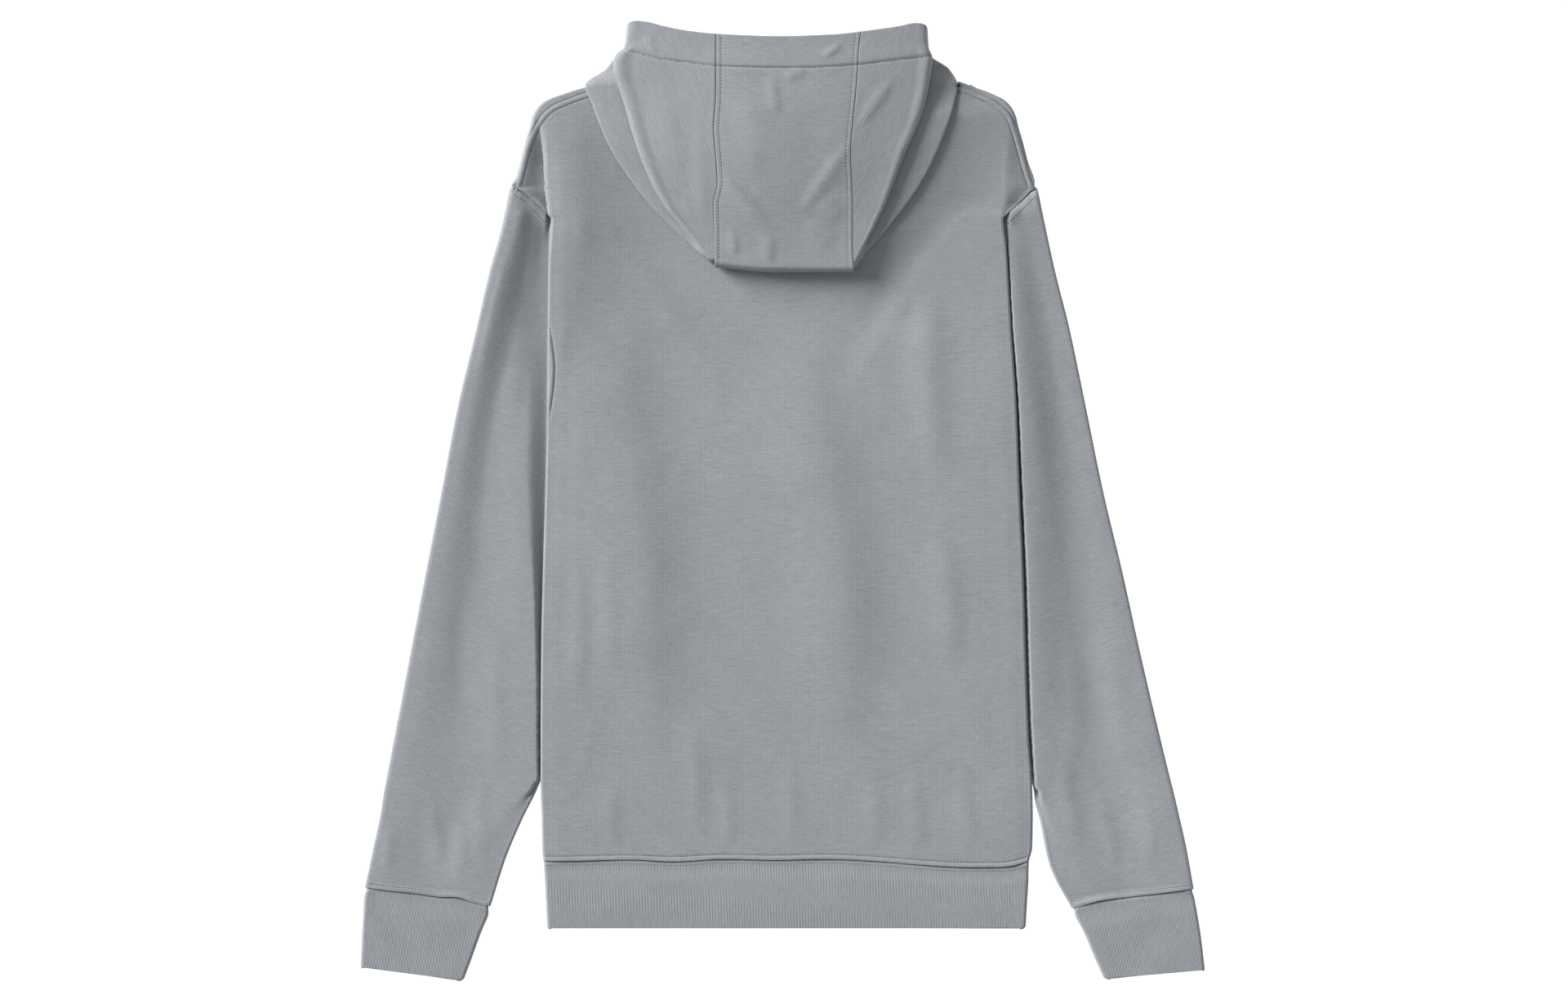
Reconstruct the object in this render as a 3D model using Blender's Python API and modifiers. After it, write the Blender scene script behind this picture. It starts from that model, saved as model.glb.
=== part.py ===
"""Pullover hoodie laid flat on its front, its hood folded back over the shoulders.

The back of the garment faces up. Each cut piece is an open sheet, worked out from the tables below
and thickened into a wall. Left is -X, the hem is towards -Y, and Z = 0 is the surface under it.
Sizes are in millimetres until a mesh is made.
"""
import math
from collections import namedtuple

import bmesh
import bpy

MM = 0.001
COLLECTION = "pullover_hoodie"

# Cloth
FLEECE = 2.0            # wall of the body, sleeves and hood
RIB = 2.6               # wall of the cuffs and the hem band
SEAM_GAP = 0.3          # between two pieces that are sewn together
GREY = (0.33, 0.345, 0.365)
RIB_GREY = (0.31, 0.325, 0.345)
CLOTH_ROUGHNESS = 0.9
LAYER_GAP = 0.5         # between cloths that lie on each other
ARMHOLE_GAP = 0.8       # along X, where the armhole seam slants

# Heights, all at the top of the cloth
TUCKED_RAISE = 4.9      # underside of the front where it lies on a sleeve
RAISE_HOLD = 24.0       # how far past the sleeve the front stays raised
RAISE_FALL = 28.0       # how far it takes to come down again
RIM_TOP = 7.6           # the hood's edge at the brow
FLAP_TOP = 9.6          # outer shoulder

# Places along Y
TIP_Y = 259.0           # shoulder tips, where shoulder and armhole seams meet
CORNER_Y = 233.0        # where the armhole seam goes under the body's side
UNDERARM_Y = 89.0
NECK_Y = 343.0          # neck edge of the hood, where it lies on the back
HEM_Y = -294.0          # seam between the body and the hem band
HOOD_FOOT_Y = 194.5     # lowest part of the folded hood
NECK_DROP = 60.0        # the front neck is this much lower, at the middle
THROAT_X = 2.0

# Hood folds
FOLD_PITCH = 3.7        # between the layers of a fold
FOLD_REACH = 2.8        # how far a fold's bend stands out
OVER_REACH = 5.0        # the same where the hood turns over past the neck
HIDDEN_DEPTH = 22.0     # how far the hidden layer runs in under the top one

# The body's side edges, and the height of the back near them and in the middle
BodyRow = namedtuple("BodyRow", "y left right edge_top middle_top")
BODY = (
    BodyRow(-294.0, -197.5, 205.0, 9.2, 9.0),
    BodyRow(-262.0, -200.0, 206.0, 10.5, 9.0),
    BodyRow(-232.0, -201.0, 206.0, 12.0, 9.0),
    BodyRow(-195.0, -201.0, 203.5, 13.0, 9.2),
    BodyRow(-127.0, -200.5, 201.0, 14.5, 9.5),
    BodyRow(-59.0, -199.0, 199.0, 16.0, 9.5),
    BodyRow(8.0, -197.0, 196.0, 17.5, 9.5),
    BodyRow(76.0, -195.5, 193.5, 19.0, 10.0),
    BodyRow(143.0, -195.0, 189.0, 20.0, 10.0),
    BodyRow(211.0, -194.0, 185.0, 20.0, 10.0),
    BodyRow(233.0, -193.0, 183.0, 20.0, 10.0),
    BodyRow(290.0, -193.0, 183.0, 17.0, 10.0),
    BodyRow(343.0, -193.0, 183.0, 10.5, 10.0),
)

ArmholeRow = namedtuple("ArmholeRow", "y left right")
ARMHOLE = (
    ArmholeRow(89.0, -80.0, 85.0),
    ArmholeRow(146.0, -118.0, 118.0),
    ArmholeRow(200.0, -162.0, 155.0),
    ArmholeRow(233.0, -193.0, 183.0),
    ArmholeRow(246.0, -206.0, 196.5),
    ArmholeRow(255.5, -217.5, 206.0),
    ArmholeRow(259.0, -226.0, 210.0),
)

ShoulderRow = namedtuple("ShoulderRow", "y left right")
SHOULDER = (
    ShoulderRow(259.0, -226.0, 210.0),
    ShoulderRow(268.0, -221.0, 207.5),
    ShoulderRow(279.0, -218.0, 203.5),
    ShoulderRow(299.0, -213.0, 198.0),
    ShoulderRow(309.0, -210.0, 195.0),
    ShoulderRow(316.0, -207.0, 193.0),
    ShoulderRow(322.0, -203.5, 190.5),
    ShoulderRow(327.0, -199.5, 187.5),
    ShoulderRow(331.0, -193.5, 183.0),
    ShoulderRow(335.0, -184.0, 175.0),
    ShoulderRow(339.0, -172.0, 165.0),
    ShoulderRow(343.0, -157.0, 151.0),
)

# The shoulder dips into a valley beside the body's side, which stands above it
ValleyRow = namedtuple("ValleyRow", "y left right strength")
VALLEY = (
    ValleyRow(218.0, -197.0, 187.5, 0.0),
    ValleyRow(238.0, -198.0, 186.5, 1.0),
    ValleyRow(262.0, -200.0, 186.0, 1.0),
    ValleyRow(285.0, -201.5, 186.0, 0.8),
    ValleyRow(312.0, -201.5, 186.0, 0.0),
)

# Soft folds of the back: from and to, half width and height, which is negative for a trough
FoldRow = namedtuple("FoldRow", "x0 y0 x1 y1 width height")
BACK_FOLDS = (
    FoldRow(-108.0, 160.0, -92.0, -50.0, 16.0, -2.0),
    FoldRow(-92.0, -50.0, -76.0, -262.0, 14.0, -1.6),
    FoldRow(-150.0, 110.0, -128.0, -60.0, 18.0, 3.0),
    FoldRow(-60.0, 130.0, -46.0, -120.0, 20.0, 2.4),
    FoldRow(48.0, 143.0, 62.0, 8.0, 16.0, -2.0),
    FoldRow(62.0, 8.0, 82.0, -195.0, 14.0, -1.8),
    FoldRow(20.0, 120.0, 34.0, -60.0, 20.0, 2.4),
    FoldRow(100.0, 120.0, 112.0, -110.0, 18.0, 2.6),
    FoldRow(122.0, 143.0, 148.0, 20.0, 9.0, -2.2),
    FoldRow(-134.0, -235.0, -132.0, -284.0, 9.0, -1.2),
    FoldRow(-52.0, -195.0, -50.0, -270.0, 10.0, -1.2),
    FoldRow(116.0, -230.0, 115.0, -284.0, 9.0, -1.2),
)

# Sleeves: outer and inner edge, the three crests across, and where the trough and inner crest are
SleeveRow = namedtuple(
    "SleeveRow", "outer_x outer_y inner_x inner_y outer trough inner end trough_at inner_at"
)
SLEEVE_LEFT = (
    SleeveRow(-227.0, 257.2, -80.0, 88.5, 9.0, 7.5, 6.0, 4.6, 0.50, 0.75),
    SleeveRow(-233.0, 228.0, -86.0, 72.0, 11.5, 7.0, 8.0, 4.6, 0.50, 0.78),
    SleeveRow(-243.0, 191.0, -95.0, 50.0, 13.0, 7.5, 9.5, 4.6, 0.48, 0.80),
    SleeveRow(-254.0, 143.0, -106.0, 20.0, 13.5, 8.0, 10.5, 4.6, 0.46, 0.80),
    SleeveRow(-270.0, 76.0, -122.0, -22.0, 14.0, 8.5, 11.5, 4.6, 0.45, 0.80),
    SleeveRow(-283.0, 8.0, -138.0, -66.0, 14.0, 8.5, 12.0, 4.6, 0.46, 0.78),
    SleeveRow(-296.0, -59.0, -156.0, -112.0, 13.5, 8.5, 12.0, 4.6, 0.50, 0.80),
    SleeveRow(-309.0, -127.0, -174.0, -160.0, 13.0, 8.5, 11.5, 4.6, 0.54, 0.80),
    SleeveRow(-322.0, -195.0, -192.0, -208.0, 12.5, 8.5, 11.0, 4.6, 0.55, 0.80),
    SleeveRow(-329.0, -232.0, -204.0, -240.0, 12.0, 8.5, 11.0, 4.8, 0.55, 0.80),
    SleeveRow(-334.0, -262.0, -215.0, -262.0, 11.5, 8.5, 11.0, 8.0, 0.52, 0.82),
    SleeveRow(-340.0, -289.0, -229.5, -296.0, 11.0, 9.0, 10.5, 9.0, 0.50, 0.80),
    SleeveRow(-345.0, -319.0, -242.0, -335.0, 9.6, 8.8, 9.4, 8.2, 0.50, 0.80),
)
SLEEVE_RIGHT = (
    SleeveRow(211.0, 257.2, 85.0, 88.5, 9.0, 7.5, 6.0, 4.6, 0.50, 0.75),
    SleeveRow(217.0, 228.0, 91.0, 72.0, 11.0, 7.5, 7.5, 4.6, 0.50, 0.75),
    SleeveRow(225.0, 191.0, 99.0, 50.0, 12.5, 9.0, 8.5, 4.6, 0.50, 0.75),
    SleeveRow(237.0, 143.0, 110.0, 20.0, 13.0, 10.0, 9.5, 4.6, 0.50, 0.75),
    SleeveRow(251.0, 76.0, 126.0, -22.0, 13.0, 10.0, 10.0, 4.6, 0.50, 0.75),
    SleeveRow(265.0, 8.0, 142.0, -66.0, 13.0, 9.5, 10.5, 4.6, 0.48, 0.75),
    SleeveRow(281.0, -59.0, 160.0, -112.0, 13.0, 9.0, 11.0, 4.6, 0.47, 0.76),
    SleeveRow(296.0, -127.0, 178.0, -160.0, 12.5, 8.5, 11.5, 4.6, 0.46, 0.78),
    SleeveRow(312.0, -195.0, 196.0, -208.0, 12.0, 8.5, 11.5, 4.6, 0.46, 0.78),
    SleeveRow(320.0, -232.0, 207.5, -240.0, 12.0, 8.5, 11.0, 4.8, 0.46, 0.78),
    SleeveRow(327.0, -262.0, 213.0, -266.0, 11.5, 8.5, 11.0, 8.0, 0.48, 0.78),
    SleeveRow(332.5, -289.0, 220.0, -300.0, 11.0, 9.0, 10.5, 9.0, 0.50, 0.80),
    SleeveRow(339.0, -319.0, 239.0, -335.0, 9.6, 8.8, 9.4, 8.2, 0.50, 0.80),
)

BandRow = namedtuple("BandRow", "outer_x outer_y inner_x inner_y top")
HEM_BAND = (
    BandRow(-197.5, -294.5, 205.0, -294.5, 9.0),
    BandRow(-197.5, -300.0, 204.5, -300.0, 8.4),
    BandRow(-197.0, -312.0, 203.5, -312.0, 9.2),
    BandRow(-196.5, -335.0, 202.0, -335.0, 9.2),
    BandRow(-195.5, -354.5, 201.0, -354.5, 8.6),
)
CUFF_LEFT = (
    BandRow(-345.0, -319.4, -242.2, -335.4, 9.0),
    BandRow(-345.5, -324.0, -243.5, -340.5, 8.4),
    BandRow(-346.5, -340.0, -249.5, -356.0, 9.2),
    BandRow(-348.0, -364.0, -257.0, -378.0, 9.0),
    BandRow(-349.0, -386.5, -264.0, -395.4, 8.6),
)
CUFF_RIGHT = (
    BandRow(339.0, -319.4, 239.2, -335.4, 9.0),
    BandRow(340.5, -324.0, 241.0, -340.5, 8.4),
    BandRow(343.0, -340.0, 248.5, -356.0, 9.2),
    BandRow(346.5, -364.0, 257.5, -378.0, 9.0),
    BandRow(349.0, -388.0, 265.5, -395.3, 8.6),
)

# Hood: the two seams of the centre strip, the top layer's folds, and the lower strip's folds
HoodRow = namedtuple("HoodRow", "y seam_left seam_right top_left top_right strip_left strip_right")
HOOD = (
    HoodRow(196.0, -56.5, 58.5, -57.0, 59.0, -57.0, 59.0),
    HoodRow(202.0, -57.0, 57.5, -66.0, 63.0, -68.0, 65.5),
    HoodRow(213.0, -57.0, 57.0, -74.0, 68.5, -80.0, 75.0),
    HoodRow(226.0, -57.0, 57.0, -84.0, 75.5, -92.0, 87.0),
    HoodRow(243.0, -57.5, 57.0, -98.0, 84.0, -109.0, 101.0),
    HoodRow(262.0, -54.0, 56.5, -109.0, 91.5, -124.0, 114.0),
    HoodRow(287.0, -55.5, 55.5, -119.5, 101.0, -141.0, 127.0),
    HoodRow(307.0, -57.0, 57.0, -126.0, 110.0, -150.5, 135.0),
    HoodRow(327.0, -55.5, 59.0, -131.5, 117.0, -158.0, 141.5),
    HoodRow(343.0, -55.0, 60.5, -136.0, 120.5, -162.0, 144.5),
    HoodRow(356.0, -55.0, 61.5, -139.0, 122.5, -147.0, 138.0),
    HoodRow(366.0, -55.0, 62.0, -138.5, 124.0, -138.5, 124.0),
    HoodRow(373.0, -55.0, 62.5, -132.0, 120.5, -132.0, 120.5),
    HoodRow(386.0, -55.0, 64.0, -129.5, 119.5, -129.5, 119.5),
)

RimRow = namedtuple("RimRow", "x y")
RIM = (
    RimRow(-130.0, 387.0),
    RimRow(-127.0, 394.0),
    RimRow(-121.0, 396.0),
    RimRow(-107.0, 393.0),
    RimRow(-84.0, 388.0),
    RimRow(-55.0, 384.5),
    RimRow(-3.0, 382.5),
    RimRow(41.0, 384.0),
    RimRow(64.0, 386.5),
    RimRow(95.0, 391.0),
    RimRow(112.0, 394.0),
    RimRow(117.0, 392.0),
    RimRow(120.0, 387.0),
)


class Track:
    """A smooth curve through one column of a table, read by the table's key column."""

    def __init__(self, table, key, column):
        self.keys = [getattr(row, key) for row in table]
        self.values = [getattr(row, column) for row in table]
        steps = [
            (b - a) / (d - c)
            for a, b, c, d in zip(self.values, self.values[1:], self.keys, self.keys[1:])
        ]
        inner = [0.0 if a * b <= 0 else 2 * a * b / (a + b) for a, b in zip(steps, steps[1:])]
        self.slopes = [steps[0], *inner, steps[-1]]

    def __call__(self, at):
        keys = self.keys
        at = min(max(at, keys[0]), keys[-1])
        i = 0
        while i < len(keys) - 2 and at > keys[i + 1]:
            i += 1
        step = keys[i + 1] - keys[i]
        t = (at - keys[i]) / step
        u = 1.0 - t
        return (
            self.values[i] * (1 + 2 * t) * u * u
            + self.slopes[i] * step * t * u * u
            + self.values[i + 1] * t * t * (3 - 2 * t)
            - self.slopes[i + 1] * step * t * t * u
        )


def mix(a, b, t):
    return a + (b - a) * t


def ease(t):
    t = min(max(t, 0.0), 1.0)
    return t * t * (3.0 - 2.0 * t)


def span(start, end, count):
    """count + 1 even places from start to end."""
    return [mix(start, end, i / count) for i in range(count + 1)]


def segment_distance(x, y, a, b):
    dx, dy = b[0] - a[0], b[1] - a[1]
    t = ((x - a[0]) * dx + (y - a[1]) * dy) / (dx * dx + dy * dy)
    t = min(max(t, 0.0), 1.0)
    return math.hypot(x - a[0] - t * dx, y - a[1] - t * dy), t


SIDES = {"left": -1.0, "right": 1.0}
SLEEVES = {"left": SLEEVE_LEFT, "right": SLEEVE_RIGHT}
body_side = {side: Track(BODY, "y", side) for side in SIDES}
armhole = {side: Track(ARMHOLE, "y", side) for side in SIDES}
shoulder = {side: Track(SHOULDER, "y", side) for side in SIDES}
valley_x = {side: Track(VALLEY, "y", side) for side in SIDES}
valley_strength = Track(VALLEY, "y", "strength")
edge_top = Track(BODY, "y", "edge_top")
middle_top = Track(BODY, "y", "middle_top")
hood_seam = {side: Track(HOOD, "y", "seam_" + side) for side in SIDES}
hood_top = {side: Track(HOOD, "y", "top_" + side) for side in SIDES}
hood_strip = {side: Track(HOOD, "y", "strip_" + side) for side in SIDES}
rim_y = Track(RIM, "x", "y")


# ---------------------------------------------------------------- body

def outline(side, y):
    """X of the body's outline: side edge, then armhole seam, then shoulder."""
    if y >= TIP_Y:
        return shoulder[side](y)
    if y >= CORNER_Y:
        return armhole[side](y) - SIDES[side] * ARMHOLE_GAP
    return body_side[side](y)


def sleeve_outline(side):
    """The sleeve's plan as a closed list of corners."""
    ys = span(UNDERARM_Y, TIP_Y, 8)
    cap = [(armhole[side](y), y) for y in ys]
    outer = [(row.outer_x, row.outer_y) for row in SLEEVES[side]]
    inner = [(row.inner_x, row.inner_y) for row in SLEEVES[side]]
    return cap + outer[1:] + inner[:0:-1]


SLEEVE_PLANS = {side: sleeve_outline(side) for side in SIDES}


def off_sleeve(side, x, y):
    """Distance in plan from a sleeve, which is 0 on it."""
    plan = SLEEVE_PLANS[side]
    inside = False
    nearest = 1e9
    for a, b in zip(plan, plan[1:] + plan[:1]):
        nearest = min(nearest, segment_distance(x, y, a, b)[0])
        if (a[1] > y) != (b[1] > y) and x < a[0] + (y - a[1]) * (b[0] - a[0]) / (b[1] - a[1]):
            inside = not inside
    return 0.0 if inside else nearest


def front_underside(x, y):
    """Height of the front's underside: on the floor, or raised over the sleeve that it lies on."""
    distance = off_sleeve("left" if x < 0 else "right", x, y)
    over = 1.0 - ease((distance - RAISE_HOLD) / RAISE_FALL)
    above_hem = ease((y - HEM_Y - 4.0) / 55.0)
    return TUCKED_RAISE * over * above_hem


def fold_height(x, y):
    """What the soft folds add to the back at a place."""
    total = 0.0
    for fold in BACK_FOLDS:
        distance, along = segment_distance(x, y, (fold.x0, fold.y0), (fold.x1, fold.y1))
        fade = min(1.0, 0.35 + 2.6 * min(along, 1.0 - along))
        total += fold.height * fade * math.exp(-((distance / fold.width) ** 2))
    return total


def back_top(x, y):
    """Height of the back's upper face away from its rounded edges."""
    inset = min(x - body_side["left"](y), body_side["right"](y) - x)
    near_side = math.exp(-((max(inset, 0.0) / 58.0) ** 2))
    height = mix(middle_top(y), edge_top(y), near_side)
    free = 1.0 - ease((y - 190.0) / 30.0)
    height += fold_height(x, y) * free * ease(inset / 40.0) * ease((y - HEM_Y) / 18.0)
    return max(height, front_underside(x, y) + 2 * FLEECE + LAYER_GAP)


EDGE_ANGLES = (0.0, 8.0, 34.0, 62.0, 90.0)
EDGE_REACH = 8.0        # how far in the rounded edges reach, at most
CORNER_FADE = 34.0      # the rounded side edge opens out over this length, up to the corner
VALLEY_MIDDLE = 6.9
PLATEAU = (14.0, 24.0, 38.0, 56.0, 78.0)
BACK_COLUMNS = 8
FRONT_COLUMNS = 12
BODY_YS = (
    -294.0, -287.0, -274.0, -252.0, -224.0, -192.0, -157.0, -122.0, -87.0, -52.0, -17.0, 18.0,
    53.0, 86.0, 116.0, 146.0, 173.0, 192.0, 202.0, 210.0, 218.0, 225.0, 233.0, 241.0,
    250.0, 256.0, 259.0, 268.0, 281.0, 296.0, 310.0, 321.0, 328.5, 334.0, 338.2, 341.3,
)


def side_rows(side, y):
    """One side of a row across the body: the middles of the back's and the front's walls, edge first."""
    sign = SIDES[side]
    edge = outline(side, y) - sign * FLEECE / 2
    inner = edge - sign * EDGE_REACH
    strength = valley_strength(y) if VALLEY[0].y < y < VALLEY[-1].y else 0.0
    half = FLEECE / 2
    flap_top = max(FLAP_TOP, front_underside(inner, y) + 2 * FLEECE + LAYER_GAP)
    top = mix(back_top(inner, y), flap_top, strength) - half
    under = front_underside(inner, y) + half
    meet = (top + under) / 2
    reach = min(EDGE_REACH, 0.5 * (top - under) + 0.5)
    lift = SEAM_GAP / 2
    roll = 1.0 - ease((y - CORNER_Y + CORNER_FADE) / CORNER_FADE)
    past_tip = ease((y - TIP_Y) / 8.0)
    back, front = [], []
    for index, angle in enumerate(EDGE_ANGLES):
        round_across = reach * (1.0 - math.cos(math.radians(angle)))
        even = (1.0 - ease(roll * 4.0)) * (1.0 - past_tip)
        across = mix(round_across, reach * index / (len(EDGE_ANGLES) - 1), even)
        up = math.sin(math.radians(angle))
        x = edge - sign * across
        lowest = front_underside(x, y) + 2 * FLEECE + LAYER_GAP - half
        lip = mix(max(FLAP_TOP - half, lowest), mix(lowest, top, up), past_tip)
        back.append((x, mix(lip, mix(meet + lift, top, up), roll)))
        front.append((x, mix(front_underside(x, y) + half, mix(meet - lift, under, up), roll)))
    for place in PLATEAU:
        x = edge - sign * place
        back.append((x, back_top(x, y) - half))
    if strength > 0.0:
        back = mix_rows(back, valley_row(side, y, back[0]), strength)
    return back, front


def valley_row(side, y, lip):
    """The back's wall across the outer shoulder, down into the valley and up onto the body's side."""
    sign = SIDES[side]
    half = FLEECE / 2
    edge = lip[0]
    bottom = valley_x[side](y)
    if (edge - bottom) * sign < 8.0:
        bottom = edge - sign * 8.0

    def floor(x):
        return front_underside(x, y) + 2 * FLEECE + LAYER_GAP - half

    def at(x, z):
        return x, max(z, floor(x))

    flap = FLAP_TOP - half
    side_top = edge_top(y) - half
    return [
        lip,
        at(edge - sign * 1.6, mix(lip[1], flap, 0.75)),
        at(mix(edge, bottom, 0.4), flap),
        at(mix(edge, bottom, 0.75), flap - 0.6),
        at(bottom, VALLEY_MIDDLE),
        at(bottom - sign * 3.0, mix(floor(bottom), side_top, 0.55)),
        at(bottom - sign * 7.0, mix(floor(bottom), side_top, 0.88)),
        at(bottom - sign * 13.0, side_top),
        at(bottom - sign * 34.0, back_top(bottom - sign * 34.0, y) - half),
        at(bottom - sign * 66.0, back_top(bottom - sign * 66.0, y) - half),
    ]


def mix_rows(a, b, t):
    return [(mix(p[0], q[0], t), mix(p[1], q[1], t)) for p, q in zip(a, b)]


def neck_drop(x):
    """How far the front's neck seam is below the back's."""
    reach = (x - THROAT_X) / (155.0 if x > THROAT_X else 161.0)
    return NECK_DROP * max(0.0, 1.0 - reach * reach) ** 1.5


def back_grid():
    grid = []
    for y in BODY_YS:
        left = side_rows("left", y)[0]
        right = side_rows("right", y)[0]
        xs = span(left[-1][0], right[-1][0], BACK_COLUMNS)[1:-1]
        middle = [(x, back_top(x, y) - FLEECE / 2) for x in xs]
        grid.append([(x, y, z) for x, z in left + middle + right[::-1]])
    return grid


def front_grid():
    grid = []
    for y in BODY_YS:
        left = side_rows("left", y)[1]
        right = side_rows("right", y)[1]
        row = left + [(x, None) for x in span(left[-1][0], right[-1][0], FRONT_COLUMNS)[1:-1]]
        row += right[::-1]
        points = []
        for x, z in row:
            lower = neck_drop(x) * ease((y - 180.0) / (NECK_Y - 180.0))
            if z is None:
                z = front_underside(x, y - lower) + FLEECE / 2
            points.append((x, y - lower, z))
        grid.append(points)
    return grid


# ---------------------------------------------------------------- tubes

def tube_ring(place, height, wall, base_columns, top_columns, bend):
    """A flattened tube's section, round from the outer edge under the tube and back over it.

    place(u) gives the plan point at the share u of the width, height(u) the top of the cloth there.
    """
    outer, inner = place(0.0), place(1.0)
    width = math.hypot(inner[0] - outer[0], inner[1] - outer[1])
    half = wall / 2
    ring = []

    def add(u, z):
        x, y = place(u)
        ring.append((x, y, z))

    def edge(end, towards, up_first):
        """The bend at one edge, from the lower wall to the upper one, or back down."""
        top = height(end + towards * bend / width) - half
        for angle in ((-60, -30, 0, 30, 60) if up_first else (60, 30, 0, -30, -60)):
            turn = math.radians(angle)
            share = (half + bend * (1.0 - math.cos(turn))) / width
            add(end + towards * share, mix(half, top, 0.5 + 0.5 * math.sin(turn)))

    low, high = (half + bend) / width, 1.0 - (half + bend) / width
    for u in base_columns:
        add(mix(low, high, u), half)
    edge(1.0, -1.0, True)
    for u in top_columns:
        u = mix(high, low, u)
        add(u, height(u) - half)
    edge(0.0, 1.0, False)
    return ring


Knot = namedtuple("Knot", "at value")


def through(*pairs):
    """A smooth curve through a few places."""
    return Track([Knot(*pair) for pair in pairs], "at", "value")


def sleeve_places(side, index, row):
    """Plan of one section of a sleeve: straight across, but for the cap, which follows the armhole."""
    bow = {0: 1.0, 1: 0.7, 2: 0.4, 3: 0.15}.get(index, 0.0)
    first = SLEEVES[side][0]

    def place(u):
        x, y = mix(row.outer_x, row.inner_x, u), mix(row.outer_y, row.inner_y, u)
        if bow:
            cap_y = mix(first.outer_y, first.inner_y, u)
            x += bow * (armhole[side](cap_y) - mix(first.outer_x, first.inner_x, u))
        return x, y

    return place


def shown_share(side, place):
    """Where along a sleeve's section the body's edge crosses it, or near its end if it doesn't."""
    sign = SIDES[side]
    for i in range(1, 100):
        x, y = place(i / 100)
        if y < HEM_Y:
            break
        if (x - body_side[side](min(y, CORNER_Y))) * sign < 1.5:
            return (i - 0.5) / 100
    return FREE_SHARE


FREE_SHARE = 0.94
SLEEVE_SHARES = (0.07, 0.16, 0.27, 0.38, 0.5, 0.62, 0.73, 0.83, 0.92, 1.0)
TUCKED_SHARES = (0.03, 0.35, 0.7)
BAND_BEND = 2.4
FREE_BEND = 3.0         # how far a sleeve's rounded edge reaches in
TUCKED_BEND = 1.3


def sleeve_section(side, index, row):
    """One section of a sleeve: its plan, its height, the shares to read, and its edges' bend."""
    place = sleeve_places(side, index, row)
    shown = shown_share(side, place)
    crests = through(
        (0.0, row.outer * 0.86),
        (0.16, row.outer),
        (row.trough_at, row.trough),
        (row.inner_at, row.inner),
        (1.0, row.end),
    )

    def height(u):
        return crests(u / shown) if u < shown else row.end

    shares = [s * shown for s in SLEEVE_SHARES] + [mix(shown, 1.0, s) for s in TUCKED_SHARES]
    columns = [0.0] + [1.0 - s for s in reversed(shares)] + [1.0]
    return place, height, columns, TUCKED_BEND if row.end < 5.0 else FREE_BEND


def sleeve_grid(side):
    rings = []
    for index, row in enumerate(SLEEVES[side]):
        place, height, columns, bend = sleeve_section(side, index, row)
        rings.append(tube_ring(place, height, FLEECE, span(0.0, 1.0, 4), columns, bend))
    return rings


def band_grid(table, wall, count):
    """Sections of a flat ribbed tube."""
    rings = []
    columns = span(0.0, 1.0, count)
    for row in table:

        def place(u, row=row):
            return mix(row.outer_x, row.inner_x, u), mix(row.outer_y, row.inner_y, u)

        def height(u, row=row):
            return row.top

        rings.append(tube_ring(place, height, wall, columns, columns, BAND_BEND))
    return rings


# ---------------------------------------------------------------- hood

HOOD_LIFT = 0.9         # the lowest hood layer above the back
BROW_Y = 386.0          # the brow edge, before it is bent to the rim's own curve
BROW_BEND = 40.0        # how far down the top layer that curve is felt
OPEN_Y = 370.0          # above this the side panel turns over once, with no hidden fold
NECK_SLIT = 2.5         # opens the neck edge where the two runs of rows part
FOOT_MARGIN = 8.0       # the folds open into the foot's turn over this height
FOOT_FADE = 34.0
FOOT_BULGE = 2.0
HOOD_YS = (343.0, 331.0, 318.0, 302.0, 286.0, 270.0, 254.0, 239.0, 226.0, 215.0, 206.0)
RIM_STEPS = (0.0, 5.0, 12.0, 20.0, 28.0, 36.0)
TOP_SHARES = (0.0, 0.2, 0.42, 0.64, 0.83)
UNDER_SHARES = (0.12, 0.3, 0.48, 0.66, 0.83, 1.0)
BEND_TURNS = (90.0, 45.0, 0.0, -45.0, -90.0)


def nape_middle(x, y):
    """Middle of the hood's lowest layer where it lies on the back."""
    return back_top(x, min(y, NECK_Y)) + HOOD_LIFT + FLEECE / 2


def top_middle(x, y):
    """Middle of the hood's top layer."""
    full = nape_middle(x, y) + 3 * FOLD_PITCH
    past_neck = ease((y - NECK_Y + 6.0) / (rim_y(x) - NECK_Y + 6.0))
    return mix(full, RIM_TOP - FLEECE / 2, past_neck)


def bend(x, z_from, z_to, sign, reach, slant=0.0):
    """A fold's turn, out to sign, from one height to another."""
    middle, half = (z_from + z_to) / 2, (z_from - z_to) / 2
    points = []
    for turn in BEND_TURNS:
        angle = math.radians(turn)
        points.append((x - sign * reach * (1.0 - math.cos(angle)), middle + half * math.sin(angle)))
    return points


def zigzag(side, y, low, last_reach):
    """The side panel's folds at one y, from the top layer's end to the strip's outer turn's end."""
    sign = SIDES[side]
    outer = hood_top[side](y) - sign * FLEECE / 2
    strip = hood_strip[side](y) - sign * FLEECE / 2
    room = abs(outer - hood_seam[side](y))
    inner = outer - sign * min(HIDDEN_DEPTH, 0.5 * room)

    def layer(x, number):
        top = top_middle(x, y)
        spread = ease((y - NECK_Y) / 14.0)
        return top - number * mix(FOLD_PITCH, (top - low) / 3, spread)

    points = bend(outer, layer(outer, 0), layer(outer, 1), sign, FOLD_REACH)
    points.append((mix(outer, inner, 0.5), layer(mix(outer, inner, 0.5), 1)))
    points += bend(inner, layer(inner, 1), layer(inner, 2), -sign, FOLD_REACH)
    points.append((mix(inner, strip, 0.5), layer(mix(inner, strip, 0.5), 2)))
    points += bend(strip, layer(strip, 2), low, sign, last_reach)
    return points


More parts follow.
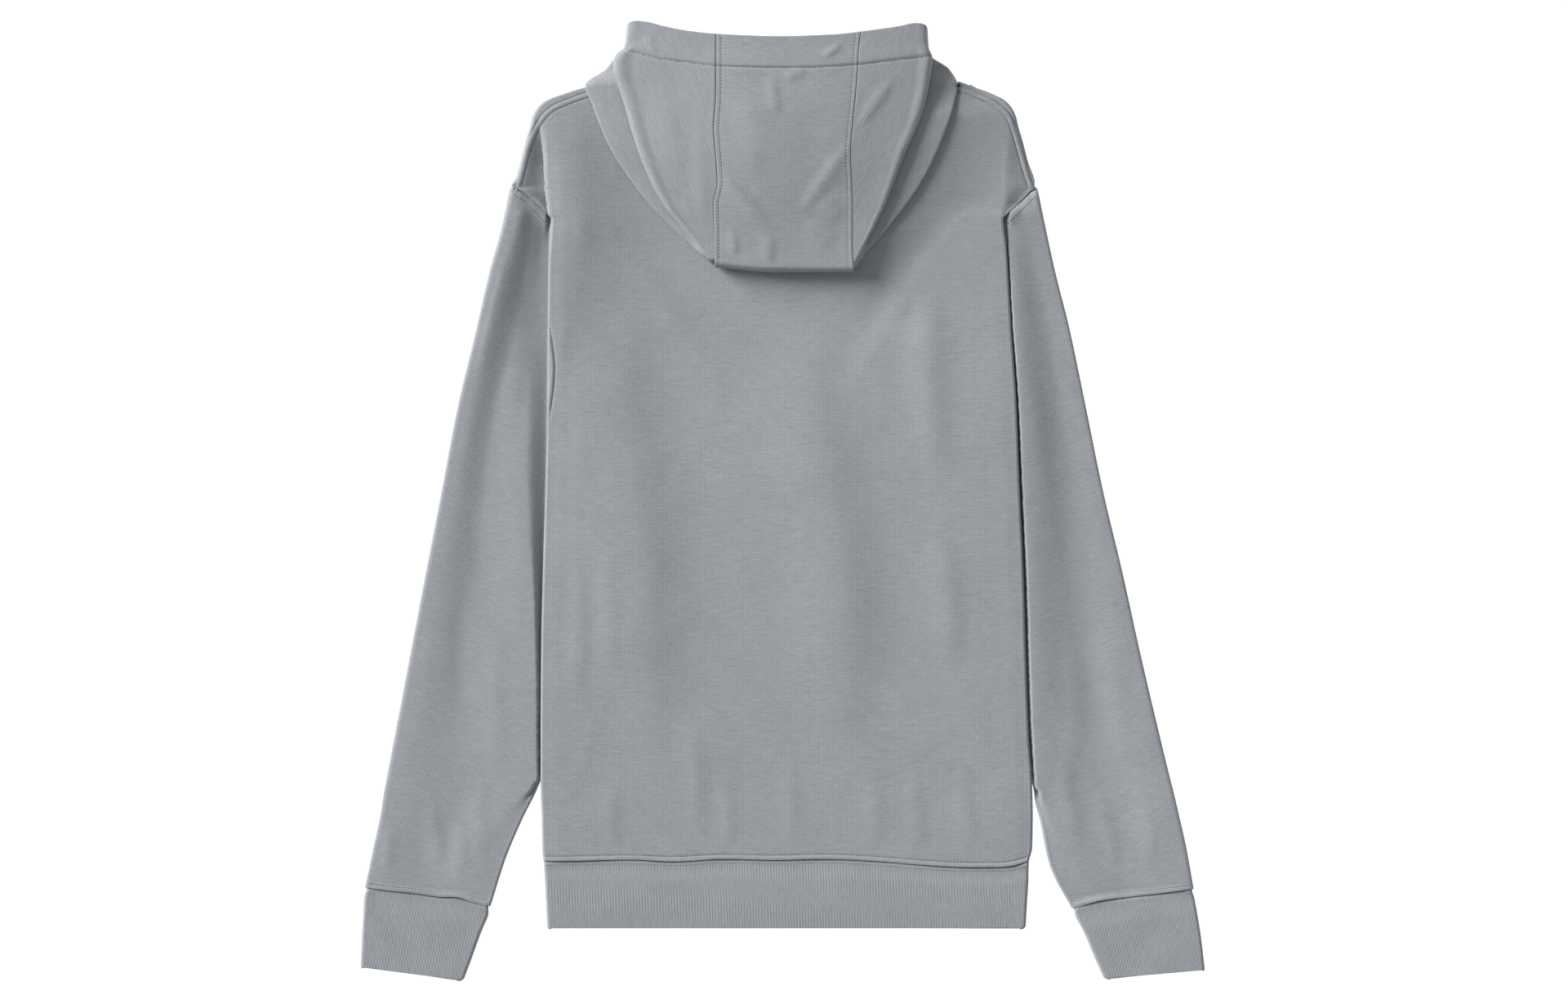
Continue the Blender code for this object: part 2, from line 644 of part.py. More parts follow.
def single_turn(side, y, low, count, reach):
    """The same stretch where the panel just turns over once."""
    sign = SIDES[side]
    outer = hood_top[side](y) - sign * FLEECE / 2
    top = top_middle(outer, y)
    middle, half = (top + low) / 2, (top - low) / 2
    points = []
    for i in range(count):
        angle = math.radians(90.0 - 180.0 * i / (count - 1))
        points.append((outer - sign * reach * (1.0 - math.cos(angle)), middle + half * math.sin(angle)))
    return points


def hood_side_rows(side):
    """Rows of the side panel: those past the neck seam, and those that lie on the back."""
    sign = SIDES[side]
    over, on_back = [], []
    for step in RIM_STEPS + (BROW_Y - NECK_Y,):
        y = BROW_Y - step
        pull = 1.0 - ease(step / BROW_BEND)
        share = ease((OPEN_Y - y) / (OPEN_Y - NECK_Y))
        low = FLEECE / 2
        folds = zigzag(side, y, low, OVER_REACH)
        turn = single_turn(side, y, low, len(folds), OVER_REACH)
        folds = mix_rows(turn, folds, share)
        start = hood_seam[side](y) + sign * SEAM_GAP / 2
        row = []
        for t in TOP_SHARES:
            x = mix(start, folds[0][0], t)
            row.append((x, y, top_middle(x, y)))
        row += [(x, y, z) for x, z in folds]
        row = [(x, y + pull * (rim_y(x) - BROW_Y), z) for x, y, z in row]
        last = row[-1]
        down = step / (BROW_Y - NECK_Y)
        end_x = mix(last[0] - sign * 7.0, THROAT_X + sign * 1.5, down)
        for t in UNDER_SHARES:
            x = mix(last[0], end_x, t)
            row.append((x, last[1] - neck_drop(x) * down**1.5, low))
        over.append(row)
    for index, y in enumerate(HOOD_YS):
        nape = hood_strip[side](y) - sign * FLEECE / 2
        low = nape_middle(nape, y)
        folds = zigzag(side, y, low, FOLD_REACH)
        room = abs(hood_top[side](y) - hood_seam[side](y))
        turn = single_turn(side, y, low, len(folds), min(OVER_REACH, 0.6 * room))
        share = ease((y - HOOD_FOOT_Y - FOOT_MARGIN) / FOOT_FADE)
        folds = mix_rows(turn, folds, share)
        start = hood_seam[side](y) + sign * SEAM_GAP / 2
        row = [(mix(start, folds[0][0], t), y) for t in TOP_SHARES]
        row = [(x, y, top_middle(x, y)) for x, y in row] + [(x, y, z) for x, z in folds]
        last = row[-1]
        for t in UNDER_SHARES:
            x = mix(last[0], start, t)
            row.append((x, y, nape_middle(x, y)))
        if index == 0:
            shared = len(TOP_SHARES) + 13
            row = over[-1][:shared] + [
                (x, y - NECK_SLIT * min(1.0, (k + 1) / 2), z)
                for k, (x, y, z) in enumerate(row[shared:])
            ]
        on_back.append(row)
    on_back.append(foot_arc(side, len(on_back[-1])))
    return over, on_back


def foot_arc(side, count):
    """The last row, along the centre strip's turn at the hood's foot."""
    sign = SIDES[side]
    y = HOOD_FOOT_Y + FOOT_BULGE
    x = hood_seam[side](y)
    top, low = top_middle(x, y), nape_middle(x, y)
    middle, half = (top + low) / 2, (top - low) / 2
    points = []
    for i in range(count):
        angle = math.radians(90.0 - 180.0 * i / (count - 1))
        clear = SEAM_GAP / 2 + 0.9 * math.cos(angle)
        bulge = FOOT_BULGE * math.cos(angle)
        points.append((x + sign * clear, y - bulge, middle + half * math.sin(angle)))
    return points


def hood_centre_grid(columns=6, turns=7):
    """The centre strip, from the brow over the top, round the foot and up to the nape."""
    grid = []
    inside = SEAM_GAP / 2

    def row(y, height, pull=0.0, shift=0.0):
        xs = span(hood_seam["left"](y) + inside, hood_seam["right"](y) - inside, columns)
        return [(x, y + shift + pull * (rim_y(x) - BROW_Y), height(x, y)) for x in xs]

    for step in RIM_STEPS:
        grid.append(row(BROW_Y - step, top_middle, 1.0 - ease(step / BROW_BEND)))
    for y in HOOD_YS:
        grid.append(row(y, top_middle))
    y = HOOD_FOOT_Y + FOOT_BULGE
    for i in range(turns):
        angle = math.radians(90.0 - 180.0 * i / (turns - 1))

        def height(x, y):
            top, low = top_middle(x, y), nape_middle(x, y)
            return (top + low) / 2 + (top - low) / 2 * math.sin(angle)

        grid.append(row(y, height, shift=-2 * FOOT_BULGE * math.cos(angle)))
    for y in HOOD_YS[::-1]:
        grid.append(row(y, nape_middle))
    return grid


# ---------------------------------------------------------------- meshes

def add_grid(mesh, grid, closed):
    rows = [[mesh.verts.new([c * MM for c in point]) for point in row] for row in grid]
    count = len(rows[0])
    for a, b in zip(rows, rows[1:]):
        for i in range(count if closed else count - 1):
            j = (i + 1) % count
            mesh.faces.new((a[i], a[j], b[j], b[i]))


def cloth(name, grids, wall, colour, closed=False):
    """A named wall of cloth from one or more grids of points at the middle of its thickness."""
    sheet = bmesh.new()
    for grid in grids:
        add_grid(sheet, grid, closed)
    bmesh.ops.remove_doubles(sheet, verts=sheet.verts, dist=0.02 * MM)
    bmesh.ops.recalc_face_normals(sheet, faces=sheet.faces)
    mesh = bpy.data.meshes.new(name)
    sheet.to_mesh(mesh)
    sheet.free()
    mesh.materials.append(cloth_material(name, colour))
    mesh.shade_smooth()
    mesh.set_sharp_from_angle(angle=math.radians(50))
    piece = bpy.data.objects.new(name, mesh)
    bpy.data.collections[COLLECTION].objects.link(piece)
    thick = piece.modifiers.new("wall", "SOLIDIFY")
    thick.thickness = wall * MM
    thick.offset = 0.0
    return piece


def cloth_material(name, colour):
    material = bpy.data.materials.new(name)
    material.use_nodes = True
    shader = material.node_tree.nodes["Principled BSDF"]
    shader.inputs["Base Color"].default_value = (*colour, 1.0)
    shader.inputs["Roughness"].default_value = CLOTH_ROUGHNESS
    shader.inputs["Metallic"].default_value = 0.0
    return material


def clear_scene():
    for piece in list(bpy.data.objects):
        bpy.data.objects.remove(piece, do_unlink=True)
    group = bpy.data.collections.new(COLLECTION)
    bpy.context.scene.collection.children.link(group)


def build():
    clear_scene()
    cloth("back", [back_grid()], FLEECE, GREY)
    cloth("front", [front_grid()], FLEECE, GREY)
    cloth("hood_centre", [hood_centre_grid()], FLEECE, GREY)
    for side in SIDES:
        cloth("sleeve_" + side, [sleeve_grid(side)], FLEECE, GREY, closed=True)
        cloth("hood_" + side, hood_side_rows(side), FLEECE, GREY)
    cloth("hem_band", [band_grid(HEM_BAND, RIB, 14)], RIB, RIB_GREY, closed=True)
    cloth("cuff_left", [band_grid(CUFF_LEFT, RIB, 6)], RIB, RIB_GREY, closed=True)
    cloth("cuff_right", [band_grid(CUFF_RIGHT, RIB, 6)], RIB, RIB_GREY, closed=True)


build()
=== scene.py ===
"""Looks of the pullover hoodie: its cloth at full detail, seams, stitching, knit, light and camera.

The cloth pieces are worked out in millimetres on fine grids, from tables that follow the CAD model's,
and get their creases, welts and stitch grooves there. Left is -X, the hem is towards -Y, and Z = 0 is
the surface under the garment.
"""

import math
from collections import namedtuple
from itertools import accumulate

import bmesh
import bpy
import numpy as np
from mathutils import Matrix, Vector
from mathutils.bvhtree import BVHTree


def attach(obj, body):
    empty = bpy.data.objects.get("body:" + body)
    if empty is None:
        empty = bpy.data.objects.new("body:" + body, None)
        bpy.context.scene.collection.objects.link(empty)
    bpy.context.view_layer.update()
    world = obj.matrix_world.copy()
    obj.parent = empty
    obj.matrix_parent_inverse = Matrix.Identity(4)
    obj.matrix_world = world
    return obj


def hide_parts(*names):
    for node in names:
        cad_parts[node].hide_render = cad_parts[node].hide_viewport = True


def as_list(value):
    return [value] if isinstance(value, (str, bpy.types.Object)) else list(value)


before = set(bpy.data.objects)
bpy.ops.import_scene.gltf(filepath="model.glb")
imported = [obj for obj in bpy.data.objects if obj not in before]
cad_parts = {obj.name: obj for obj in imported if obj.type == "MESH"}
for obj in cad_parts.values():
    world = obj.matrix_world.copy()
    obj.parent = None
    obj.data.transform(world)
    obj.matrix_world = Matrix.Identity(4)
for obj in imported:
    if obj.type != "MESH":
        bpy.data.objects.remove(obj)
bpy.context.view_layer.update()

MM = 0.001
SIDES = {"left": -1.0, "right": 1.0}

# Cloth
FLEECE = 2.0            # wall of the body, sleeves and hood
RIB = 2.6               # wall of the cuffs and the hem band
SEAM_GAP = 0.3          # between two pieces that are sewn together
HOOD_SEAM_GAP = 0.14    # the same in the hood, where a welt covers it
LAYER_GAP = 0.5         # between cloths that lie on each other
ARMHOLE_GAP = 0.35      # along X, where the armhole seam slants

# The front, where it lies on a sleeve
TUCKED_RAISE = 4.9      # how high its underside is
RAISE_HOLD = 24.0       # how far past the sleeve it stays raised
RAISE_FALL = 28.0       # how far it takes to come down again
RAISE_FADE = 16.0       # the same along Y, past the corner where the sleeve comes out
HEM_FADE = 55.0         # the same above the hem

# Places along Y
TIP_Y = 259.0           # shoulder tips, where shoulder and armhole seams meet
CORNER_Y = 233.0        # where the armhole seam goes under the body's side
UNDERARM_Y = 89.0
NECK_Y = 343.0          # neck edge of the hood, where it lies on the back
FRONT_NECK_Y = 180.0    # from here up the front is drawn down to its lower neck

# The front's neck
NECK_DROP = 60.0        # how much lower than the back's it is, at the middle
THROAT_X = 2.0          # where it is lowest
NECK_LEFT = 161.0       # how wide it is from there to the left
NECK_RIGHT = 155.0      # and to the right
NECK_LIFT = 5.2         # how far the right shoulder runs on upwards beside the hood's fold

HEM_Y = -294.0          # seam between the body and the hem band

# Hood
HOOD_FOOT_Y = 194.5     # lowest part of the folded hood
FOOT_BULGE = 2.0        # how far its turn stands out there
BROW_Y = 386.0          # the brow edge, before it is bent to the rim's own curve
BROW_BEND = 40.0        # how far down the top layer that curve is felt
BROW_TOP = 24.0         # how high the brow stays where it stands open
CURL_Y = 296.0          # above this the top layer bends towards that height
OPEN_Y = 370.0          # above this the side panel turns over once, with no hidden fold
NECK_SLIT = 2.5         # opens the neck edge where the two runs of rows part
HOOD_LIFT = 0.9         # the lowest hood layer above the back
FOLD_PITCH = 4.2        # between the layers of a fold
LAYER_SHARES = (0.0, 0.4, 0.68, 0.84)   # how far down they are, the last at the strip's outer fold
FOLD_REACH = 1.0        # how far a fold's bend stands out
OVER_REACH = 2.6        # the same where the hood turns over past the neck
HIDDEN_DEPTH = 22.0     # how far the hidden layer runs in under the top one
DOME = 9.6              # how far the hood's crown stands up
CREST = 0.44            # where it is highest, across from the left fold to the right
BACK_UNDER_HOOD = 10.0  # height of the back that the top layer is reckoned from


def named_rows(fields, *rows):
    """A table's rows, with named columns."""
    row = namedtuple("Row", fields)
    return [row(*values) for values in rows]


# The body's side edges, its armhole seams and its shoulders, along Y
BODY = named_rows(
    "y left right",
    (-294, -198.8, 203.6), (-283, -199.6, 206.4), (-262, -200, 206.8), (-232, -201, 206),
    (-195, -201, 203.5), (-127, -200.5, 201), (-59, -199, 199), (8, -197, 196), (76, -195.5, 193.5),
    (143, -195, 189), (211, -194, 185), (233, -193, 183), (290, -193, 183), (343, -193, 183),
)

ARMHOLE = named_rows(
    "y left right",
    (89, -80, 85), (146, -118, 118), (200, -162, 155), (233, -193, 183), (246, -206, 196.5),
    (255.5, -217.5, 206), (259, -226, 210),
)

SHOULDER = named_rows(
    "y left right",
    (259, -226, 210), (268, -221, 207.5), (279, -218, 203.5), (299, -213, 198), (309, -210, 195),
    (316, -208.4, 193.4), (322, -205.6, 191), (327, -201.4, 187.5), (331, -195, 183),
    (335, -184, 175), (339, -172, 165), (343, -157, 151),
)

# Sleeves: outer and inner edge, the three crests across, and where the trough and inner crest are
SLEEVE_FIELDS = "outer_x outer_y inner_x inner_y outer trough inner end trough_at inner_at"
SLEEVE_LEFT = named_rows(
    SLEEVE_FIELDS,
    (-227, 257.2, -80, 88.5, 12, 8.6, 6, 4.6, 0.50, 0.85),
    (-233, 228, -86, 72, 14.4, 8.2, 5.2, 4.6, 0.56, 0.84),
    (-243, 191, -95, 50, 14.2, 7.8, 5.2, 4.6, 0.56, 0.86),
    (-254, 143, -106, 20, 13.2, 8.2, 7.4, 4.6, 0.49, 0.76),
    (-270, 76, -122, -22, 12.2, 8.8, 9.8, 4.6, 0.41, 0.80),
    (-283, 8, -138, -66, 12, 8.9, 10.6, 4.6, 0.43, 0.88),
    (-296, -59, -156, -112, 11.8, 9.1, 11, 4.6, 0.46, 0.95),
    (-309, -127, -174, -160, 11.4, 9.3, 10.8, 4.6, 0.46, 0.98),
    (-322, -195, -192, -208, 11.2, 9.3, 10.6, 4.6, 0.50, 0.99),
    (-329, -232, -204, -240, 11, 9.3, 10.4, 6, 0.52, 0.985),
    (-331, -243, -207.6, -247.5, 10.9, 9.2, 10.4, 9, 0.52, 0.94),
    (-334, -262, -215, -262, 10.8, 9.2, 10.3, 9.8, 0.52, 0.88),
    (-340, -289, -229.5, -296, 10.6, 9.2, 10.1, 9.6, 0.50, 0.80),
    (-346.6, -319, -242.4, -335, 9.6, 8.8, 9.4, 9, 0.50, 0.80),
)
SLEEVE_RIGHT = named_rows(
    SLEEVE_FIELDS,
    (211, 257.2, 85, 88.5, 6, 6.3, 6.6, 4.6, 0.45, 0.90),
    (217, 228, 91, 72, 5.2, 5.8, 8.4, 4.6, 0.38, 0.97),
    (225, 191, 99, 50, 5, 5.4, 9.8, 4.6, 0.33, 0.97),
    (237, 143, 110, 20, 5, 5.2, 11.2, 4.6, 0.30, 0.97),
    (251, 76, 126, -22, 5.2, 5.2, 11.9, 4.6, 0.30, 0.97),
    (265, 8, 142, -66, 5.7, 5.3, 12.2, 4.6, 0.34, 0.97),
    (281, -59, 160, -112, 6.3, 5.6, 11.9, 4.6, 0.38, 0.97),
    (296, -127, 178, -160, 7.2, 6.2, 11.4, 4.6, 0.42, 0.975),
    (312, -195, 196, -208, 8.5, 7.2, 11, 4.6, 0.45, 0.98),
    (321, -232, 207.5, -240, 9.3, 8.1, 10.8, 5.6, 0.46, 0.98),
    (323.8, -243, 208.8, -249.5, 9.6, 8.5, 10.4, 9.2, 0.47, 0.97),
    (328.2, -262, 213, -266, 10, 8.8, 10.6, 10, 0.48, 0.94),
    (334.4, -289, 220, -300, 10.2, 9, 10.4, 9.8, 0.50, 0.86),
    (340.2, -319, 239, -335, 9.6, 8.8, 9.4, 9, 0.50, 0.80),
)

BAND_FIELDS = "outer_x outer_y inner_x inner_y top"
HEM_BAND = named_rows(
    BAND_FIELDS,
    (-198.4, -294.5, 203.6, -294.5, 9),
    (-198.2, -300, 203.4, -300, 8.4),
    (-197.4, -312, 203.2, -312, 9.2),
    (-196.5, -335, 202, -335, 9.2),
    (-195.5, -354.5, 201, -354.5, 8.6),
)
CUFF_LEFT = named_rows(
    BAND_FIELDS,
    (-346.6, -319.4, -242.6, -335.4, 9),
    (-347, -324, -243.5, -340.5, 8.4),
    (-347.9, -340, -249.5, -356, 9.2),
    (-349.2, -364, -257.6, -378.6, 9),
    (-350.2, -386.8, -264.8, -397.8, 8.6),
)
CUFF_RIGHT = named_rows(
    BAND_FIELDS,
    (340.2, -319.4, 239.2, -335.4, 9),
    (340.5, -324, 241, -340.5, 8.4),
    (343, -340, 248.5, -356, 9.2),
    (346.5, -364, 257.5, -378, 9),
    (349.4, -389, 265.8, -396.3, 8.6),
)

# Hood: the two seams of the centre strip, the top layer's folds, and the lower strip's folds
HOOD = named_rows(
    "y seam_left seam_right top_left top_right strip_left strip_right",
    (196, -56.5, 58.5, -57, 59, -57, 59),
    (202, -57, 57.5, -66, 63, -68, 65.5),
    (213, -57, 57, -74, 68.5, -80, 75),
    (226, -57, 57, -84, 75.5, -92, 87),
    (243, -57.5, 57, -98, 84, -109, 101),
    (262, -54, 56.5, -109, 91.5, -124, 114),
    (287, -55.5, 55.5, -119.5, 101, -141, 127),
    (307, -57, 57, -126, 110, -150.5, 135),
    (327, -55.5, 59, -131.5, 117, -158, 141.5),
    (343, -55, 60.5, -137, 120.5, -163.8, 144.5),
    (356, -55, 61.5, -140.6, 122.5, -147.5, 138),
    (366, -55, 62, -139.8, 124, -139.8, 124),
    (373, -55, 62.5, -132, 120.5, -132, 120.5),
    (386, -55, 64, -129.5, 119.5, -129.5, 119.5),
)

# The brow's edge
RIM = (
    (-130, 387), (-127, 394), (-121, 396), (-107, 393), (-84, 388), (-55, 384.5), (-3, 382.5),
    (41, 384), (64, 386.5), (95, 391), (112, 394), (117, 392), (120, 387),
)

# Top of the back along its left side, its middle and its right side
HEIGHT = named_rows(
    "y left middle right",
    (-294, 9.2, 9, 9.2), (-232, 11, 10.4, 10.8), (-127, 12.4, 11.8, 12.2), (8, 14.2, 12.6, 13.4),
    (76, 15.2, 11, 12.6), (143, 16, 8.8, 10), (190, 16.4, 7.8, 9.2), (211, 16.4, 7.4, 9),
    (250, 16, 6.8, 8.2), (290, 15.2, 6.6, 7.6), (343, 9.5, 6.6, 7.2),
)

# The bottom of the valley between the outer shoulder and the body's side, and the wall's width
WALL = named_rows(
    "y left right width",
    (199, -194, 184.6, 1.4), (233, -193.9, 183.4, 1.4), (246, -195.2, 182, 1.6),
    (262, -196.8, 182.2, 2.2), (285, -198.4, 183.2, 3.6), (305, -200.6, 185, 6),
    (318, -202, 186.8, 9),
)


# ---------------------------------------------------------------- curves and grids

def mix(a, b, t):
    return a + (b - a) * t


def ease(t):
    """A soft step, from 0 at 0 to 1 at 1."""
    t = np.clip(t, 0.0, 1.0)
    return t * t * (3.0 - 2.0 * t)


def bell(t):
    """1 at 0, and falling off softly to both sides."""
    return np.exp(-(t**2))


def span(start, end, count):
    """count + 1 even places from start to end."""
    return [mix(start, end, i / count) for i in range(count + 1)]


def stations(start, *legs):
    """Places along a line: each leg runs to its end at about its own spacing."""
    places = [start]
    for end, spacing in legs:
        count = max(1, round(abs(end - places[-1]) / spacing))
        places += span(places[-1], end, count)[1:]
    return places


def smooth(a, b, slope_a, slope_b, t):
    """A smooth step from a to b, with its slopes at both ends."""
    u = 1.0 - t
    return a * (1 + 2 * t) * u * u + slope_a * t * u * u + b * t * t * (3 - 2 * t) - slope_b * t * t * u


class Track:
    """A smooth curve through values at keys, without overshoot, and level past its ends."""

    def __init__(self, keys, values):
        self.keys, self.values = keys, values
        steps = [(b - a) / (d - c) for a, b, c, d in zip(values, values[1:], keys, keys[1:])]
        inner = [0.0 if a * b <= 0 else 2 * a * b / (a + b) for a, b in zip(steps, steps[1:])]
        self.slopes = [steps[0], *inner, steps[-1]]

    def __call__(self, at):
        keys = self.keys
        at = min(max(at, keys[0]), keys[-1])
        i = 0
        while i < len(keys) - 2 and at > keys[i + 1]:
            i += 1
        step = keys[i + 1] - keys[i]
        slopes = [slope * step for slope in self.slopes[i : i + 2]]
        return smooth(*self.values[i : i + 2], *slopes, (at - keys[i]) / step)


def through(*pairs):
    """A smooth curve through a few places, each a key and its value."""
    return Track(*zip(*pairs))


def column(table, name):
    """A smooth curve along Y through one column of a table."""
    return through(*[(row.y, getattr(row, name)) for row in table])


def both_sides(table, prefix=""):
    """The curves through a table's left and right column."""
    return {side: column(table, prefix + side) for side in SIDES}


def spline(points, counts, split=None):
    """A smooth curve through points, with counts[i] steps after point i.

    At the point numbered split its direction is that of the stretch before it.
    """
    p = np.array(points, float)
    chord = np.maximum(np.linalg.norm(np.diff(p, axis=0), axis=1), 1e-6)[:, None]
    slope = np.diff(p, axis=0) / chord
    tangent = np.empty_like(p)
    tangent[0], tangent[-1] = slope[0], slope[-1]
    tangent[1:-1] = (slope[:-1] * chord[1:] + slope[1:] * chord[:-1]) / (chord[1:] + chord[:-1])
    if split is not None:
        tangent[split] = slope[split - 1]
    out = []
    for i, count in enumerate(counts):
        t = (np.arange(count) / count)[:, None]
        out.append(smooth(p[i], p[i + 1], tangent[i] * chord[i], tangent[i + 1] * chord[i], t))
    return np.concatenate([*out, p[-1:]])


def even_path(points, spacing):
    """A smooth curve through a few points, as points about spacing apart."""
    rough = spline(points, [24] * (len(points) - 1))
    run = np.concatenate([[0.0], np.cumsum(np.linalg.norm(np.diff(rough, axis=0), axis=1))])
    at = np.linspace(0.0, run[-1], max(2, round(run[-1] / spacing) + 1))
    return np.stack([np.interp(at, run, values) for values in rough.T], axis=1)


def offset_path(path, shift):
    """The path moved sideways, to its left where shift is positive."""
    along = np.gradient(path, axis=0)
    along /= np.linalg.norm(along, axis=1)[:, None]
    return path + shift * np.stack([-along[:, 1], along[:, 0]], axis=1)


def path_field(x, y, path):
    """Signed distance from a path, positive on its left, the share along it, and how far past an end."""
    best, signed, share, past = (np.full(x.shape, start) for start in (1e9, 0.0, 0.0, 0.0))
    last = len(path) - 2
    for i in range(last + 1):
        (ax, ay), (bx, by) = path[i], path[i + 1]
        dx, dy = bx - ax, by - ay
        length = math.hypot(dx, dy)
        t = ((x - ax) * dx + (y - ay) * dy) / length**2
        over = np.zeros(x.shape)
        if i == 0:
            over = np.maximum(-t * length, 0.0)
        if i == last:
            over = np.maximum(over, (t - 1.0) * length)
        t = np.clip(t, 0.0, 1.0)
        distance = np.hypot(x - ax - t * dx, y - ay - t * dy)
        near = distance < best
        best = np.where(near, distance, best)
        side = np.where((y - ay) * dx - (x - ax) * dy >= 0.0, 1.0, -1.0)
        signed = np.where(near, side * distance, signed)
        share = np.where(near, (i + t) / (last + 1), share)
        past = np.where(near, over, past)
    return signed, share, past


def parts(grid):
    """X, Y and Z of a grid of points."""
    return grid[..., 0], grid[..., 1], grid[..., 2]


def joined(x, y, z):
    return np.stack([x, y, z], axis=-1)


def from_ends(x):
    """How far each place is from the nearer end of its row."""
    return np.minimum(x - x.min(axis=1, keepdims=True), x.max(axis=1, keepdims=True) - x)


SLEEVES = {"left": SLEEVE_LEFT, "right": SLEEVE_RIGHT}
body_side = both_sides(BODY)
armhole = both_sides(ARMHOLE)
shoulder = both_sides(SHOULDER)
wall_x = both_sides(WALL)
wall_width = column(WALL, "width")
height_at = {place: column(HEIGHT, place) for place in ("left", "middle", "right")}
hood_seam = both_sides(HOOD, "seam_")
hood_top = both_sides(HOOD, "top_")
hood_strip = both_sides(HOOD, "strip_")
hood_side_rise = through((211, 20), (233, 20), (290, 17), (343, 10.5))
rim_y = through(*RIM)


# ---------------------------------------------------------------- creases

# Each crease is a soft ridge, or a trough where its height is negative: its path in plan, drawn from
# top to bottom, how far its left and right flanks reach, and its height.

BACK_CREASES = (
    ((-126, 175), (-134, 76), (-124, 8), (-117, -60), (-114, -127), (-108, -215), 44, 29, 3.5),
    ((26, 165), (24, 76), (34, 8), (46, -60), (50, -127), (50, -215), 50, 30, 3.9),
    ((118, 178), (120, 120), (122, 76), (130, 16), 17, 15, 2.1),
    ((126, -20), (134, -59), (138, -93), (140, -140), 15, 12, 1.3),
    ((-172, 322), (-168, 250), (-170, 180), 12, 12, 0.7),
    ((-180, 158), (-186, 120), (-192, 92), 6, 5, 0.5),
    ((-170, -50), (-168, -110), (-170, -168), 10, 7, 0.6),
    ((-147, -40), (-143, -90), (-144, -150), 9, 7, 0.5),
    ((-140, -228), (-142, -262), (-139, -291), 8, 5, 0.6),
    ((-74, -180), (-72, -230), (-69, -284), 8, 6, 0.6),
    ((-46, -225), (-46, -262), (-44, -289), 6, 5, 0.5),
    ((4, -215), (7, -255), (6, -288), 8, 6, 0.45),
    ((74, -222), (76, -258), (79, -289), 7, 5, 0.5),
    ((108, -220), (111, -256), (114, -288), 8, 5, 0.6),
    ((148, -216), (151, -252), (155, -286), 7, 6, 0.45),
    ((60, 172), (92, 158), (128, 160), 20, 26, -1.2),
    ((-40, 150), (-44, 60), (-28, -60), (-26, -150), 26, 30, 0.7),
)

FRONT_CREASES = (
    ((-60, 180), (-48, 60), (-56, -60), (-40, -190), 22, 14, 2),
    ((22, 160), (12, 40), (20, -90), (8, -230), 16, 22, 1.8),
    ((-14, -200), (-10, -245), (-12, -286), 7, 7, 1.2),
    ((46, -190), (50, -240), (48, -284), 7, 7, 1.2),
    ((-84, -214), (-80, -250), (-82, -286), 6, 6, 1),
    ((-30, 210), (8, 130), (30, 40), 12, 12, 1.4),
)

HOOD_CREASES = (
    ((-52, 272), (-40, 256), (-26, 241), (-8, 227), 7, 4, 0.81),
    ((56, 296), (42, 276), (28, 256), (12, 236), 5, 7, 0.74),
    ((30, 250), (38, 240), (46, 228), 9, 9, 0.5),
    ((-44, 224), (-40, 212), (-41, 202), 5, 3, 0.56),
    ((-10, 220), (-12, 208), (-11, 198), 6, 4, 0.56),
    ((16, 228), (30, 220), (46, 216), 8, 8, 0.37),
    ((-10, 352), (-8, 336), (-4, 316), 6, 4, 0.56),
    ((2, 346), (10, 352), (20, 350), 4, 5, 0.56),
    ((49, 378), (40, 370), (31, 364), 3, 3, 0.62),
    ((92, 348), (76, 327), (61, 306), 5, 4, 0.62),
    ((-113, 384), (-109, 375), (-105, 367), 4, 3, 0.43),
    ((-100, 350), (-94, 300), (-80, 256), 14, 11, 0.56),
    ((-70, 310), (-68, 264), (-64, 230), 8, 8, 0.43),
    ((104, 310), (90, 266), (72, 232), 9, 9, 0.43),
    ((-30, 340), (-24, 300), (-26, 268), 16, 16, 0.5),
    ((24, 330), (22, 296), (24, 262), 14, 14, -0.37),
)

SLEEVE_CREASES = {}
SLEEVE_CREASES["left"] = (
    ((-232, 214), (-244, 150), (-256, 96), 9, 8, 0.7),
    ((-216, 160), (-222, 110), (-226, 60), 10, 9, 0.9),
    ((-262, -60), (-268, -130), (-266, -190), 9, 9, -0.8),
    ((-236, -110), (-240, -170), (-234, -230), 10, 10, 0.8),
    ((-292, -246), (-286, -285), (-288, -310), 8, 6, 0.9),
    ((-268, -262), (-266, -290), (-270, -316), 7, 6, 0.8),
    ((-326, -262), (-328, -290), (-326, -312), 7, 6, 0.6),
    ((-250, -230), (-252, -262), (-246, -300), 9, 7, 0.7),
)

SLEEVE_CREASES["right"] = (
    ((206, 100), (216, 20), (230, -60), 10, 10, 0.8),
    ((228, 60), (240, -20), (250, -90), 10, 10, 0.6),
    ((236, -110), (242, -170), (236, -230), 9, 9, 0.8),
    ((262, -100), (276, -160), (282, -220), 10, 10, 0.7),
    ((232, -210), (236, -250), (246, -290), 8, 7, 0.9),
    ((262, -240), (270, -276), (276, -308), 8, 7, 0.9),
    ((298, -240), (304, -280), (302, -312), 8, 7, 0.7),
)


def crease_field(x, y, creases):
    total = np.zeros(x.shape)
    for *path, left, right, height in creases:
        signed, share, past = path_field(x, y, even_path(path, 8.0))
        ends = np.minimum(share, 1.0 - share)
        fade = ease(ends * 2.6 + 0.1) * bell(past / (left + right))
        reach = np.where(signed > 0.0, right, left) * (0.6 + 0.4 * ease(ends * 3.0))
        total += height * fade * bell(signed / reach)
    return total


